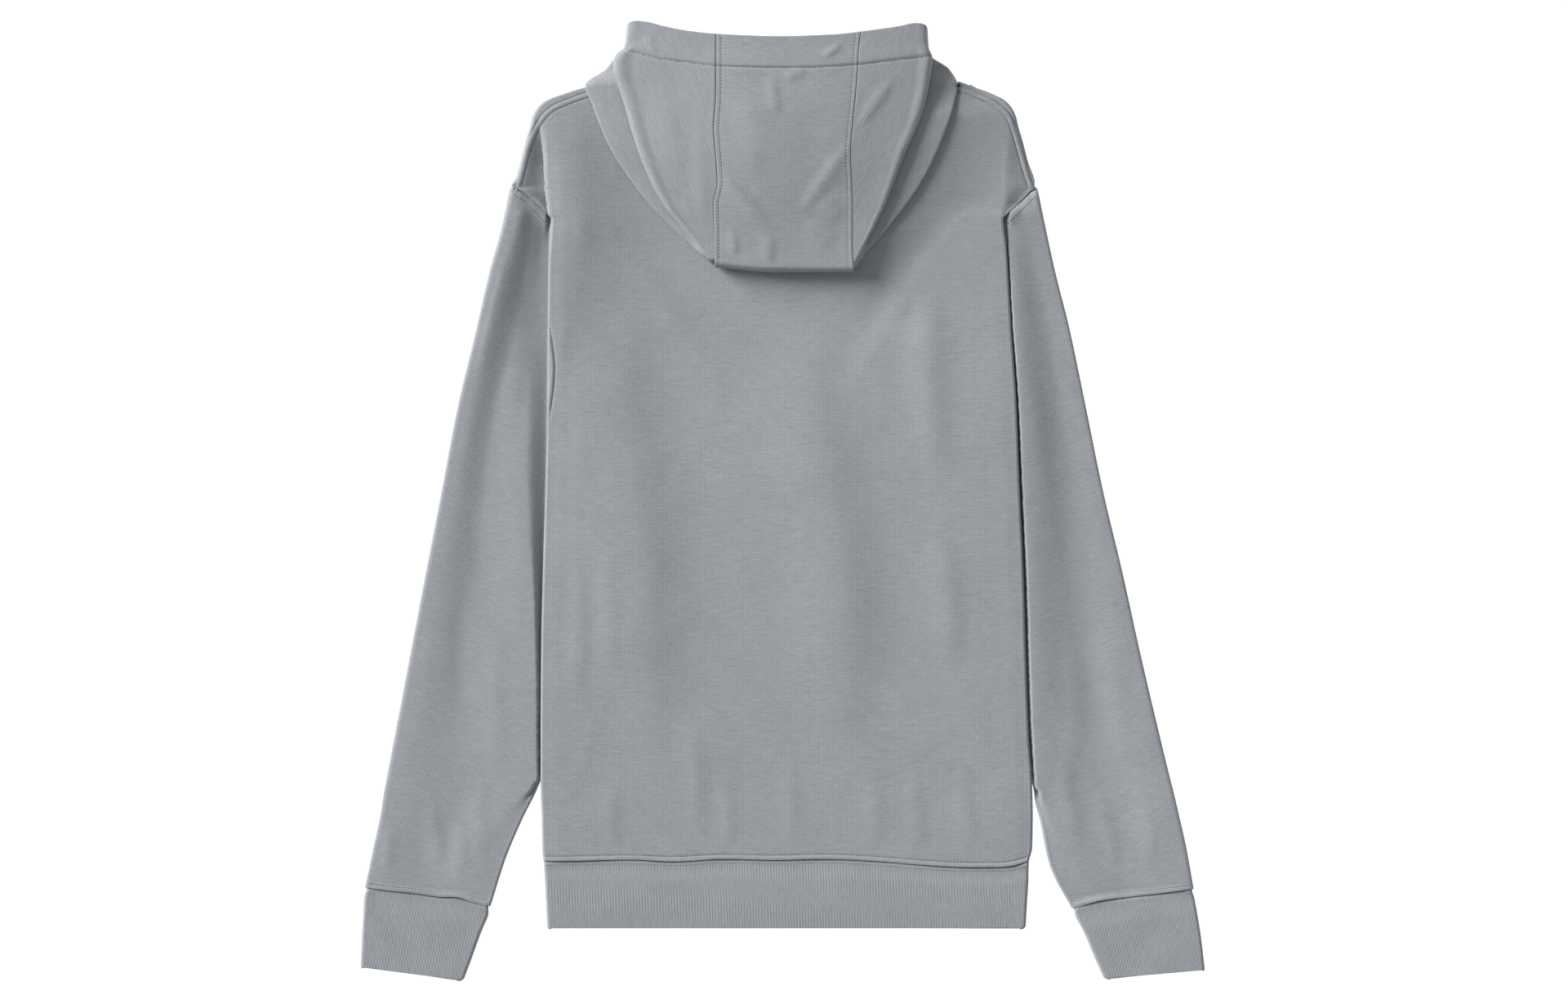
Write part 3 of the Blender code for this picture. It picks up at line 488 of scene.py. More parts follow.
def wobble(x, y, wave, turn):
    """An uneven, gently waving height between about -1 and 1."""
    a, b = x / wave + turn, y / wave - turn
    bent = a + 0.9 * np.sin(0.7 * b + 1.3) + 0.4 * np.sin(1.9 * b + 0.4 * a)
    swung = b + 0.8 * np.sin(0.8 * a - 0.6) + 0.3 * np.sin(2.3 * a + 2.0)
    return 0.5 * np.sin(bent * 2.1) * np.cos(swung * 1.3) + 0.5 * np.sin(swung * 2.7 + bent)


# ---------------------------------------------------------------- seams

# Paths in plan. A welt is the seam allowance under the cloth, a groove is where stitches pull it in.
SHOULDER_LEFT = (
    (-150, 340.8), (-164.3, 336.6), (-179.1, 331.2), (-192, 325.2), (-200.1, 317.7),
    (-206.2, 307.6), (-212.3, 293.4), (-218.4, 271.1), (-221.7, 258.9),
)
SHOULDER_RIGHT = (
    (139, 344), (145, 342.6), (162.9, 336), (179.1, 327.9), (187.3, 320.4),
    (193.3, 306.9), (198.6, 289), (204.6, 268), (207.2, 260.5),
)
CASING = (
    (-133, 372.2), (-129.1, 371.8), (-104.1, 365), (-78.4, 361.4), (-54.1, 358.3), (-24.3, 357.3),
    (8.1, 356.9), (40.6, 358), (62.2, 359.6), (83.8, 362.3), (104.8, 365), (124, 367.4),
)
HEM_STITCH = (
    (-197, -295.4), (-174.4, -295.2), (-125.7, -294.2), (-91.3, -295.6), (-50, -293.6),
    (-8.8, -294.4), (40.6, -293.6), (85.9, -296), (114.2, -298.4), (164.3, -300.4),
    (192, -298.8), (204, -295),
)
SIDE_ARC = ((-193.8, 146), (-191.3, 132.5), (-188.8, 110.9), (-190.4, 87.2), (-193.4, 69))
HEM_SEAM_DROP = 3.7     # from the stitches down to the seam
WELT = 0.36             # height of the seam allowance under a shoulder

# How far each row of stitches, and the groove that it lies in, is from its seam
SHOULDER_STITCH = 4.4
ARMHOLE_STITCH = 5.0
CUFF_STITCH = 3.9
HOOD_STITCH = 3.9
BAND_STITCH = 3.2
CASING_STITCH = -0.35   # from the casing's lower edge


def welt(signed, start, end, height, soft=0.9):
    """A raised strip between two distances from a seam."""
    return height * ease((signed - start) / soft + 0.5) * ease((end - signed) / soft + 0.5)


def groove(signed, at, depth, width=0.85):
    return -depth * bell((signed - at) / width)


hem_stitch_line = even_path(HEM_STITCH, 4.0)
casing_line = even_path(CASING, 3.0)


def hem_shift(x, y):
    """How far the cloth near the hem seam is moved along Y, to follow where the band is sewn on."""
    near = 1.0 - ease(np.where(y > HEM_Y, (y - HEM_Y) / 60.0, (HEM_Y - y) / 50.0))
    seam_y = np.interp(x, hem_stitch_line[:, 0], hem_stitch_line[:, 1]) - HEM_SEAM_DROP
    return near * (seam_y - HEM_Y)


# ---------------------------------------------------------------- body

BACK_YS = stations(-294.0, (-283.0, 0.8), (196.0, 4.6), (226.0, 3.0), (341.3, 1.15))
FRONT_YS = stations(-294.0, (-284.0, 1.2), (341.3, 4.6))
BACK_OFFSETS = np.array(stations(0.0, (0.3, 0.3), (5.0, 0.55), (34.0, 0.95), (46.0, 2.0), (78.0, 4.0)))
FRONT_OFFSETS = np.array(stations(0.0, (0.3, 0.3), (8.0, 0.85), (24.0, 4.0)))
BACK_MIDDLE = 58        # columns between the two side walls
FRONT_MIDDLE = 72
BACK_SEAT = 1.5 * FLEECE + LAYER_GAP    # middle of the back's wall, above the front's underside

SIDE_REACH = 58.0       # how far in the back's rise towards its sides is felt
WALL_REACH = 0.9        # how far in the rounded sides have most of their height
EDGE_REACH = 8.0        # how far in the rounded edges reach, at most
CORNER_FADE = 34.0      # the rounded side edge opens out over this length, up to the corner
SWELL = 8.0             # how far the back rises under the hood's right side
SWELL_REACH = 47.0      # how far out that is felt
SWELL_INNER = 34.0      # and how far in

# Middle of the cloth across the outer shoulder: at its edge, beside the body's side, and how far the
# edge dips between the shoulder's tip and the corner
FLAP_EDGE = {"left": 10.6, "right": 4.4}
FLAP_INNER = {"left": 4.6, "right": 7.8}
FLAP_DIP = {"left": 2.2, "right": 0.0}


def outline(side, y):
    """X of the body's outline: side edge, then armhole seam, then shoulder."""
    if y >= TIP_Y:
        return shoulder[side](y)
    if y >= CORNER_Y:
        return armhole[side](y) - SIDES[side] * ARMHOLE_GAP
    return body_side[side](y)


def sleeve_plan(side):
    """The corners of a sleeve in plan."""
    cap = [(armhole[side](y), y) for y in span(UNDERARM_Y, TIP_Y, 8)]
    outer = [row[:2] for row in SLEEVES[side][1:]]
    inner = [row[2:4] for row in SLEEVES[side][:0:-1]]
    return np.array(cap + outer + inner)


SLEEVE_PLANS = {side: sleeve_plan(side) for side in SIDES}


def off_sleeve(side, x, y):
    """Distance in plan from a sleeve, which is 0 on it."""
    plan = SLEEVE_PLANS[side]
    nearest = np.full(x.shape, 1e9)
    inside = np.zeros(x.shape, bool)
    for (ax, ay), (bx, by) in zip(plan, np.roll(plan, -1, axis=0)):
        dx, dy = bx - ax, by - ay
        t = np.clip(((x - ax) * dx + (y - ay) * dy) / max(dx * dx + dy * dy, 1e-9), 0.0, 1.0)
        nearest = np.minimum(nearest, np.hypot(x - ax - t * dx, y - ay - t * dy))
        if ay != by:
            inside ^= ((ay > y) != (by > y)) & (x < ax + (y - ay) * dx / dy)
    return np.where(inside, 0.0, nearest)


def tucked_raise(y):
    """How far a tucked sleeve raises the front, up to the corner where it comes out."""
    return TUCKED_RAISE * (1.0 - ease((y - CORNER_Y - 1.0) / RAISE_FADE))


def front_underside(x, y):
    """Height of the front's underside: on the floor, or raised over the sleeve that it lies on."""
    distance = np.minimum(off_sleeve("left", x, y), off_sleeve("right", x, y))
    over = 1.0 - ease((distance - RAISE_HOLD) / RAISE_FALL)
    return tucked_raise(y) * over * ease((y - HEM_Y - 4.0) / HEM_FADE)


def back_lowest(x, y):
    """Middle of the back's wall where it lies on the front."""
    return front_underside(x, y) + BACK_SEAT


def right_reach(y):
    """How far in the rise towards the right side is felt, which is less beside the hood."""
    return SIDE_REACH - 14.0 * ease((y - 90.0) / 90.0)


def swell(x, y):
    """The rise under the hood's right fold, which falls off towards the shoulder and the hem."""
    out = x - (hood_strip["right"](y) - 14.0)
    across = bell(out / np.where(out > 0.0, SWELL_REACH, SWELL_INNER))
    return SWELL * across * ease((y - 176.0) / 50.0) * (1.0 - ease((y - 316.0) / 27.0))


def higher(a, b, soft=2.4):
    """The higher of two surfaces, with a soft bend where they meet."""
    return 0.5 * (a + b + np.hypot(a - b, soft)) - 0.06 * soft


def back_height(x, y):
    """Middle of the back's wall, away from its edges and folds."""
    inset = np.minimum(x - body_side["left"](y), body_side["right"](y) - x)
    near = bell(np.maximum(inset, 0.0) / np.where(x < 0.0, SIDE_REACH, right_reach(y)))
    middle = height_at["middle"](y)
    side = np.where(x < 0.0, height_at["left"](y), height_at["right"](y))
    return higher(middle + (side - middle) * near + swell(x, y) - FLEECE / 2, back_lowest(x, y))


def flap_edge(side, y):
    """Middle of the cloth along the armhole seam, which dips between its tip and the body's side."""
    return FLAP_EDGE[side] - FLAP_DIP[side] * ease((TIP_Y - 1.0 - y) / 11.0)


def quarter_turn(offset, reach):
    """From 0 at an edge to 1 at its reach, as a quarter of a circle."""
    return np.sqrt(1.0 - (1.0 - np.clip(offset / reach, 0.0, 1.0)) ** 2)


def rounded_edge(offset, reach):
    """The same with a steep wall and a long, gentle shoulder after it."""
    return 0.86 * quarter_turn(offset, reach) + 0.14 * ease(offset / (reach + 13.0))


def side_edge(side, y):
    """Where a rounded side edge is, where its two walls meet, and how far it reaches in."""
    sign = SIDES[side]
    edge = outline(side, y) - sign * FLEECE / 2
    inner = np.array([edge - sign * EDGE_REACH])
    top = float(back_height(inner, y)[0])
    under = float(front_underside(inner, y)[0]) + FLEECE / 2
    reach = min(WALL_REACH, 0.5 * (top - under) + 0.5)
    roll = 1.0 - ease((y - CORNER_Y + CORNER_FADE) / CORNER_FADE)
    return edge, (top + under) / 2, reach, roll


def back_side(side, y):
    """The back's wall from its outline inwards: over the rounded side, or flap, valley and wall."""
    sign = SIDES[side]
    edge, meet, reach, roll = side_edge(side, y)
    offset = BACK_OFFSETS
    x = edge - sign * offset
    base = back_height(x, y)
    lowest = back_lowest(x, y)
    rolled = mix(meet + SEAM_GAP / 2, base, rounded_edge(offset, reach))
    width = max(0.8, sign * (edge - wall_x[side](y)))
    dip = np.maximum(FLAP_INNER[side], lowest)
    flap = np.maximum(flap_edge(side, y), lowest)
    flap = mix(flap, dip, ease((offset / width - 0.1) / 0.9))
    flap = mix(flap, mix(lowest, flap, quarter_turn(offset, 1.8)), ease((y - TIP_Y) / 8.0))
    rise = rounded_edge(offset - width, wall_width(y)) * (offset > width)
    walled = np.where(offset < width, flap, mix(dip, base, rise))
    plain = mix(lowest, base, quarter_turn(offset, 2.2))
    walled = mix(walled, plain, ease((y - 276.0) / 44.0))
    return x, np.maximum(mix(walled, rolled, roll), lowest)


def front_side(side, y):
    edge, meet, reach, roll = side_edge(side, y)
    x = edge - SIDES[side] * FRONT_OFFSETS
    under = front_underside(x, y) + FLEECE / 2
    rolled = mix(meet - SEAM_GAP / 2, under, quarter_turn(FRONT_OFFSETS, reach + 1.5))
    return x, mix(under, rolled, roll)


def body_grid(ys, side_wall, count, middle_height):
    """Rows across a body panel: a side wall, count steps across the middle, and a side wall."""
    rows = []
    for y in ys:
        left_x, left_z = side_wall("left", y)
        right_x, right_z = side_wall("right", y)
        x = np.array(span(left_x[-1], right_x[-1], count)[1:-1])
        z = np.concatenate([left_z, middle_height(x, y), right_z[::-1]])
        x = np.concatenate([left_x, x, right_x[::-1]])
        rows.append(joined(x, np.full(len(x), y), z))
    return parts(np.array(rows))


def neck_drop(x):
    """How far the front's neck seam is below the back's."""
    reach = (x - THROAT_X) / np.where(x > THROAT_X, NECK_RIGHT, NECK_LEFT)
    return NECK_DROP * np.maximum(0.0, 1.0 - reach * reach) ** 1.5


def neck_lift(x, y):
    """How far the right shoulder runs on upwards at a place."""
    across = ease((x - 141.0) / 4.5) * np.clip((159.5 - x) / 14.0, 0.0, 1.0)
    return NECK_LIFT * across * ease((y - 316.0) / 25.0)


def fine_back():
    x, y, z = body_grid(BACK_YS, back_side, BACK_MIDDLE, back_height)
    y = y + neck_lift(x, y)
    soft = ease((from_ends(x) - 2.0) / 26.0) * ease((y - HEM_Y - 3.0) / 14.0)
    soft *= 1.0 - 0.8 * ease((y - 300.0) / 30.0)
    z = z + soft * (crease_field(x, y, BACK_CREASES) + 0.28 * wobble(x, y, 52.0, 0.4))
    z = z + soft * 0.1 * wobble(x, y, 21.0, 2.4)
    z = np.maximum(z, back_lowest(x, y) - 0.2)
    for path, sign, relief in ((SHOULDER_LEFT, 1.0, 1.0), (SHOULDER_RIGHT, -1.0, 1.8)):
        signed, _, past = path_field(x, y, even_path(path, 4.0))
        signed *= sign
        seam = groove(signed, 0.0, 0.5) + welt(signed, 0.8, 3.6, WELT)
        z = z + relief * bell(past / 2.0) * (seam + groove(signed, SHOULDER_STITCH, 0.36, 0.7))
    signed, _, past = path_field(x, y, even_path(SIDE_ARC, 4.0))
    z = z + bell(past / 3.0) * (groove(signed, 0.0, 0.6, 0.9) + welt(-signed, 0.8, 3.2, 0.4))
    above = y - (HEM_Y + HEM_SEAM_DROP)
    z = z + welt(-above, 0.7, HEM_SEAM_DROP + 3.0, 0.4, 1.2) + groove(above, 0.0, 0.5, 0.8)
    return joined(x, y + hem_shift(x, y), z)


def fine_front():
    x, y, z = body_grid(FRONT_YS, front_side, FRONT_MIDDLE, lambda x, y: np.full(len(x), FLEECE))
    lower = neck_drop(x) * ease((y - FRONT_NECK_Y) / (NECK_Y - FRONT_NECK_Y))
    y = y - lower + neck_lift(x, y)
    raised = front_underside(x, y)
    inner = ease((from_ends(x) - 8.0) / 4.0)
    z = mix(z, raised + FLEECE / 2, inner)
    on_floor = 1.0 - raised / TUCKED_RAISE
    soft = inner * ease((y - HEM_Y - 3.0) / 16.0) * on_floor
    lift = crease_field(x, y, FRONT_CREASES) + 0.5 + 0.5 * wobble(x, y, 44.0, 1.7)
    z = z + soft * np.clip(lift, 0.0, 4.0)
    z = z + inner * on_floor * groove(y - (HEM_Y + HEM_SEAM_DROP), 0.0, -0.5, 0.8)
    return joined(x, y + hem_shift(x, y), z)


# ---------------------------------------------------------------- tubes

EDGE_TURNS = [math.radians(angle) for angle in range(-75, 90, 15)]
SLEEVE_BASE = 26        # steps across a sleeve's underside
FREE_SHARE = 0.97       # how much of a sleeve shows where nothing lies on it
FREE_BEND = 0.8         # how far the sleeve's sides stand out where they are free
TUCKED_BEND = 1.2       # the same under the body
COVER_MARGIN = 1.5      # how far out from the body's side a sleeve starts to show
SHOWN_STEP = 0.06       # how much more of it may show from one row to the next
BAND_BEND = 1.1         # how far the sides of a cuff or the hem band stand out


def fine_table(table, spacing, tail=5):
    """The table's rows at a finer spacing, closer at the end, with the place of each along the piece.

    The third result has the places of the table's own rows.
    """
    middle = [((row.outer_x + row.inner_x) / 2, (row.outer_y + row.inner_y) / 2) for row in table]
    run = list(accumulate(map(math.dist, middle, middle[1:]), initial=0.0))
    places = span(0.0, run[-1], max(4, round(run[-1] / spacing)))[:-1]
    tracks = [Track(run, values) for values in zip(*table)]
    rows = [[track(at) for track in tracks] for at in places]
    rows += zip(*[span(a, b, tail)[1:] for a, b in zip(rows[-1], table[-1])])
    return [type(table[0])(*row) for row in rows], places + [run[-1]] * tail, run


def tube_ring(place, height, wall, under_columns, upper_columns, bend):
    """A flattened tube's section, round from the outer edge under the tube and back over it."""
    width = math.dist(place(0.0), place(1.0))
    half = wall / 2
    ring = []

    def edge(end, towards, turns):
        top = height(end + towards * bend / width) - half
        for turn in turns:
            share = (half + bend * (1.0 - math.cos(turn))) / width
            u = end + towards * share
            ring.append((*place(u), mix(half, top, 0.5 + 0.5 * math.sin(turn))))

    low, high = (half + bend) / width, 1.0 - (half + bend) / width
    ring += [(*place(u), half) for u in [mix(low, high, column) for column in under_columns]]
    edge(1.0, -1.0, EDGE_TURNS)
    ring += [(*place(u), height(u) - half) for u in [mix(high, low, column) for column in upper_columns]]
    edge(0.0, 1.0, EDGE_TURNS[::-1])
    return ring


def shown_share(side, place):
    """How far across from its outer edge a sleeve shows, up to where the body's side covers it."""
    for i in range(1, 200):
        x, y = place(i / 200)
        if y < HEM_Y - 6.0:
            break
        if (x - body_side[side](min(max(y, HEM_Y), CORNER_Y))) * SIDES[side] < COVER_MARGIN:
            return (i - 0.5) / 200
    return FREE_SHARE


def fine_sleeve(side):
    rows, places, run = fine_table(SLEEVES[side], 3.6)
    bow_track = through(*zip(run, (1.0, 0.7, 0.4, 0.15, 0.0)))
    first = rows[0]
    shown = 1.0
    rings = []
    for row, at in zip(rows, places):
        bow = bow_track(at)

        def place(u):
            x, y = mix(row.outer_x, row.inner_x, u), mix(row.outer_y, row.inner_y, u)
            if bow > 0.0:
                cap_y = mix(first.outer_y, first.inner_y, u)
                x += bow * ease(u / 0.03) * (armhole[side](cap_y) - mix(first.outer_x, first.inner_x, u))
            return x, y

        shown = min(shown_share(side, place), shown + SHOWN_STEP)
        crests = through(
            (0.0, row.outer - 0.3),
            (0.12, row.outer),
            (row.trough_at, row.trough),
            (row.inner_at, row.inner),
            (1.0, row.end),
        )

        def height(u):
            return crests(u / shown) if u < shown else row.end

        columns = span(0.0, 0.9 * shown, 44) + span(0.9 * shown, shown, 16)[1:] + span(shown, 1.0, 9)[1:]
        columns = [1.0 - u for u in reversed(columns)]
        bend = mix(FREE_BEND, TUCKED_BEND, 1.0 - ease((row.end - 4.8) / 2.0))
        rings.append(tube_ring(place, height, FLEECE, span(0.0, 1.0, SLEEVE_BASE), columns, bend))
    return sleeve_details(side, *parts(np.array(rings)))


ARMHOLE_WELT = 4.2      # how wide the seam allowance shows under the sleeve's cap
# How far the sleeve is below the outer shoulder, and its welt's height and groove's depth
SEAM_STEP = {"left": 0.2, "right": 0.8}
ARMHOLE_RELIEF = {"left": (1.0, 1.0), "right": (0.4, 0.5)}


def sleeve_details(side, x, y, z):
    """Creases, the cap's height beside the body, and the welts and grooves of both its seams."""
    rows, columns = x.shape
    top = np.arange(SLEEVE_BASE + 1 + len(EDGE_TURNS), columns - len(EDGE_TURNS))
    share = (top - top[0]) / (top[-1] - top[0])
    upper = np.zeros(columns)
    upper[top] = ease(share / 0.12) * ease((1.0 - share) / 0.08)
    down = np.linspace(0.0, 1.0, rows)[:, None]
    ends = ease(down / 0.05) * ease((1.0 - down) / 0.03)
    soft = 0.7 * crease_field(x, y, SLEEVE_CREASES[side]) + 0.28 * wobble(x, y, 40.0, 3.1 + SIDES[side])
    z = z + upper * ends * soft
    beside = ease((SIDES[side] * (x - body_side[side](200.0)) - 0.5) / 2.5)
    cap = even_path([(armhole[side](v), v) for v in span(UNDERARM_Y, TIP_Y, 10)], 3.0)
    signed, share, _ = path_field(x, y, cap)
    cap_y = np.interp(share * (len(cap) - 1), np.arange(len(cap)), cap[:, 1])
    level = np.maximum(flap_edge(side, cap_y), tucked_raise(cap_y) + BACK_SEAT) - SEAM_STEP[side]
    near_cap = (1.0 - ease(np.abs(signed) / 12.0)) * ease((y - 212.0) / 18.0)
    z = z + upper * beside * near_cap * (level - z)
    signed *= SIDES[side] * -1.0
    height, depth = ARMHOLE_RELIEF[side]
    relief = welt(signed, -1.0, ARMHOLE_WELT, height, 1.0) + groove(signed, ARMHOLE_STITCH, depth)
    z = z + upper * relief
    up = -cuff_run(side, x, y)
    z = z + upper * (welt(up, -1.0, CUFF_WELT, 0.45, 1.2) + groove(up, CUFF_STITCH, 0.5))
    grid = joined(x, y + cuff_shift(side, x, y), z)
    return np.concatenate([allowance(side, grid[0], upper), grid])


# How far each ring of the seam allowance runs in under the outer shoulder, and how deep
ALLOWANCE = ((4.0, 2.9), (2.2, 2.75), (0.9, 2.5), (0.25, 1.2))
ALLOWANCE_WAY = np.array([26.0, 33.0]) / math.hypot(33.0, 26.0)     # square to the armhole in plan


def allowance(side, ring, upper):
    """The sleeve's seam allowance at the armhole, from its first ring inwards."""
    inwards = np.array([-SIDES[side] * ALLOWANCE_WAY[0], ALLOWANCE_WAY[1], 0.0])
    share = np.clip(upper * 4.0, 0.0, 1.0)
    share[-len(EDGE_TURNS) : -len(EDGE_TURNS) // 2] = 1.0
    shifts = [reach * inwards - (0.0, 0.0, drop) for reach, drop in ALLOWANCE]
    return np.array([ring + share[:, None] * shift for shift in shifts])


CUFF_WELT = 3.2         # how wide the seam allowance shows above a cuff
CUFF_DROP = 3.0         # how far down the whole seam is moved
# How far the middle of a cuff's seam is arched up, at shares across from its outer edge
CUFF_ARCH = {
    "left": ((0, 1.2), (0.2, 1.6), (0.37, 2.6), (0.58, 2.8), (0.74, 4.8), (0.88, 2.8), (1, 1.6)),
    "right": ((0, 0), (0.25, 0.6), (0.5, 1.6), (0.75, 2.4), (0.9, 1.4), (1, 0)),
}


def cuff_run(side, x, y):
    """How far a place is down the cuff from its seam: negative values are on the sleeve."""
    ax, ay, bx, by = SLEEVES[side][-1][:4]
    dx, dy = bx - ax, by - ay
    return SIDES[side] * ((y - ay) * dx - (x - ax) * dy) / math.hypot(dx, dy)


def cuff_shift(side, x, y):
    """How far the cloth near a cuff's seam is moved along Y, to follow its arch."""
    ax, _, bx, _ = SLEEVES[side][-1][:4]
    arch = through(*CUFF_ARCH[side])
    places = np.linspace(0, 1, 41)
    lift = np.interp(np.clip((x - ax) / (bx - ax), 0.0, 1.0), places, [arch(u) for u in places])
    return (1.0 - ease(np.abs(cuff_run(side, x, y)) / 46.0)) * (lift - CUFF_DROP)


def round_off(up, radius):
    """How far in a rounded corner runs, at a distance from the piece's end."""
    left = max(0.0, 1.0 - up / radius)
    return radius * (1.0 - math.sqrt(1.0 - left * left))


def fine_band(table, under_steps, upper_steps, corners):
    """A band's rings, with its steps across and the radius of its outer and inner lower corner."""
    last = table[-1]
    rings = []
    for row in fine_table(table, 2.6)[0]:
        up, width = math.dist(row[:2], last[:2]), math.dist(row[:2], row[2:4])
        start, end = round_off(up, corners[0]) / width, 1.0 - round_off(up, corners[1]) / width

        def place(u):
            u = mix(start, end, u)
            return mix(row.outer_x, row.inner_x, u), mix(row.outer_y, row.inner_y, u)

        columns = span(0, 1, under_steps), span(0, 1, upper_steps)
        rings.append(tube_ring(place, lambda u: row.top, RIB, *columns, BAND_BEND))
    return parts(np.array(rings))


RIB_PITCH = 2.4         # from one rib to the next
RIB_HEIGHT = 0.08
BAND_MIDDLE = 5.0       # anything above this is on a band's upper side


def band_details(x, y, z, run, down, rise, margin, waves, dip):
    """Slightly uneven ribs all round, and on the upper side soft waves and a dip along the seam."""
    over = z > BAND_MIDDLE
    ribs = RIB_HEIGHT * np.sin(run / RIB_PITCH * 2 * math.pi + 0.5 * np.sin(run / 37.0) + 0.15 * y)
    z = z + np.where(over, 1.0, -1.0) * ease(from_ends(x) / 4.0) * ribs * ease(down / rise)
    soft = over * ease(from_ends(x) / margin)
    return z + soft * (waves - dip * bell(down / 1.6)), soft


def fine_hem_band():
    x, y, z = fine_band(HEM_BAND, 420, 640, (1.4, 2.8))
    down = HEM_Y - y
    z, soft = band_details(x, y, z, x, down, 6.0, 12.0, 0.35 * wobble(x, y, 34.0, 5.0), 0.4)
    z = z + soft * groove(down, BAND_STITCH, 0.2, 0.6)
    return joined(x, y + hem_shift(x, y), z)


def fine_cuff(side):
    x, y, z = fine_band(CUFF_LEFT if side == "left" else CUFF_RIGHT, 120, 172, (0.6, 3.2))
    down = cuff_run(side, x, y)
    run = x * 1.02 + 0.28 * SIDES[side] * y
    z, _ = band_details(x, y, z, run, down, 5.0, 10.0, 0.4 * wobble(x, y, 26.0, 7.0 + SIDES[side]), 0.5)
    y = y + cuff_shift(side, x, y)
    low, high = x.min(axis=1, keepdims=True), x.max(axis=1, keepdims=True)
    pinch = 1.6 * (1.0 - ease(down / 9.0))
    x = x - pinch * (x - (low + high) / 2) / ((high - low) / 2)
    return joined(x, y, z)


# ---------------------------------------------------------------- hood

TOP_SHARES = (0.0, 0.2, 0.42, 0.64, 0.83)           # places across the top layer
UNDER_SHARES = (0.12, 0.3, 0.48, 0.66, 0.83, 1.0)   # and across the lowest one
TOP_COUNTS = [8, 8, 7, 7, 6]                        # steps after each of the first
TURN_COUNTS = [2, 2, 2, 2]
HOOD_COUNTS = TOP_COUNTS + (TURN_COUNTS + [3, 3]) * 2 + TURN_COUNTS + [4] * len(UNDER_SHARES)
TOP_COLUMNS = sum(TOP_COUNTS)
SHARED = len(TOP_SHARES) + 13       # places that both runs of rows have at the neck
STRIP_SHARES = stations(0.0, (0.11, 0.0078), (0.89, 0.02), (1.0, 0.0078))
RIM_STEPS = stations(0.0, (4.0, 1.0), (12.0, 1.6), (BROW_Y - NECK_Y, 0.95))
HOOD_YS = stations(NECK_Y, (206.0, 2.2), (200.0, 2.0))
FOOT_Y = HOOD_FOOT_Y + FOOT_BULGE


def nape_middle(x, y):
    """Middle of the hood's lowest layer where it lies on the back."""
    y = min(y, NECK_Y)
    side = "left" if x < 0 else "right"
    inset = SIDES[side] * (body_side[side](y) - x)
    near = bell(max(inset, 0.0) / (SIDE_REACH if x < 0 else right_reach(y)))
    seat = mix(height_at["middle"](y), height_at[side](y), near) + float(swell(x, y))
    return seat + HOOD_LIFT + FLEECE / 2


def dome(x, y):
    """The fullness of the hood's top layer, which falls off to its folds, foot and brow."""
    left, right = hood_top["left"](y), hood_top["right"](y)
    share = min(max((x - left) / (right - left), 0.0), 1.0)
    if share < CREST:
        across = 1.0 - (1.0 - share / CREST) ** 1.5
    else:
        across = 1.0 - ((share - CREST) / (1.0 - CREST)) ** 2.2
    return DOME * across * ease((y - 188.0) / 105.0) * (1.0 - 0.25 * ease((y - 300.0) / 86.0))


def top_middle(x, y):
    """Middle of the hood's top layer."""
    at = min(y, NECK_Y)
    inset = min(x - body_side["left"](at), body_side["right"](at) - x)
    near = bell(max(inset, 0.0) / SIDE_REACH)
    full = mix(BACK_UNDER_HOOD, hood_side_rise(at), near) + HOOD_LIFT + FLEECE / 2 + 3 * FOLD_PITCH
    curled = ((y - CURL_Y) / (rim_y(x) - CURL_Y)) ** 1.25 if y > CURL_Y else 0.0
    return mix(full, BROW_TOP - FLEECE / 2, curled) + dome(x, y)


def half_turn(count):
    """Cosine and sine of even turns from straight up to straight down."""
    turns = [math.radians(90.0 - 180.0 * i / (count - 1)) for i in range(count)]
    return [(math.cos(turn), math.sin(turn)) for turn in turns]


def bend(x, z_from, z_to, sign, reach, count=5):
    """A fold's turn, out to sign, from one height to another."""
    middle, half = (z_from + z_to) / 2, (z_from - z_to) / 2
    return [(x - sign * reach * (1.0 - cosine), middle + half * sine) for cosine, sine in half_turn(count)]


def zigzag(side, y, low, last_reach):
    """The side panel's folds at one y, from the top layer's end to the strip's outer turn's end."""
    sign = SIDES[side]
    outer = hood_top[side](y) - sign * FLEECE / 2
    strip = hood_strip[side](y) - sign * FLEECE / 2
    room = abs(outer - hood_seam[side](y))
    inner = outer - sign * min(HIDDEN_DEPTH, 0.5 * room)
    past_neck = ease((y - NECK_Y) / 14.0)
    rest = mix(nape_middle(strip, y), low, past_neck)

    def layer(x, number):
        top = top_middle(x, y)
        return top - LAYER_SHARES[number] * (top - rest)

    points = bend(outer, layer(outer, 0), layer(outer, 1), sign, FOLD_REACH)
    points.append((mix(outer, inner, 0.5), layer(mix(outer, inner, 0.5), 1)))
    points += bend(inner, layer(inner, 1), layer(inner, 2), -sign, FOLD_REACH)
    points.append((mix(inner, strip, 0.5), (layer(inner, 2) + layer(strip, 3)) / 2))
    points += bend(strip, layer(strip, 3), low, sign, mix(FOLD_REACH, last_reach, past_neck))
    return points


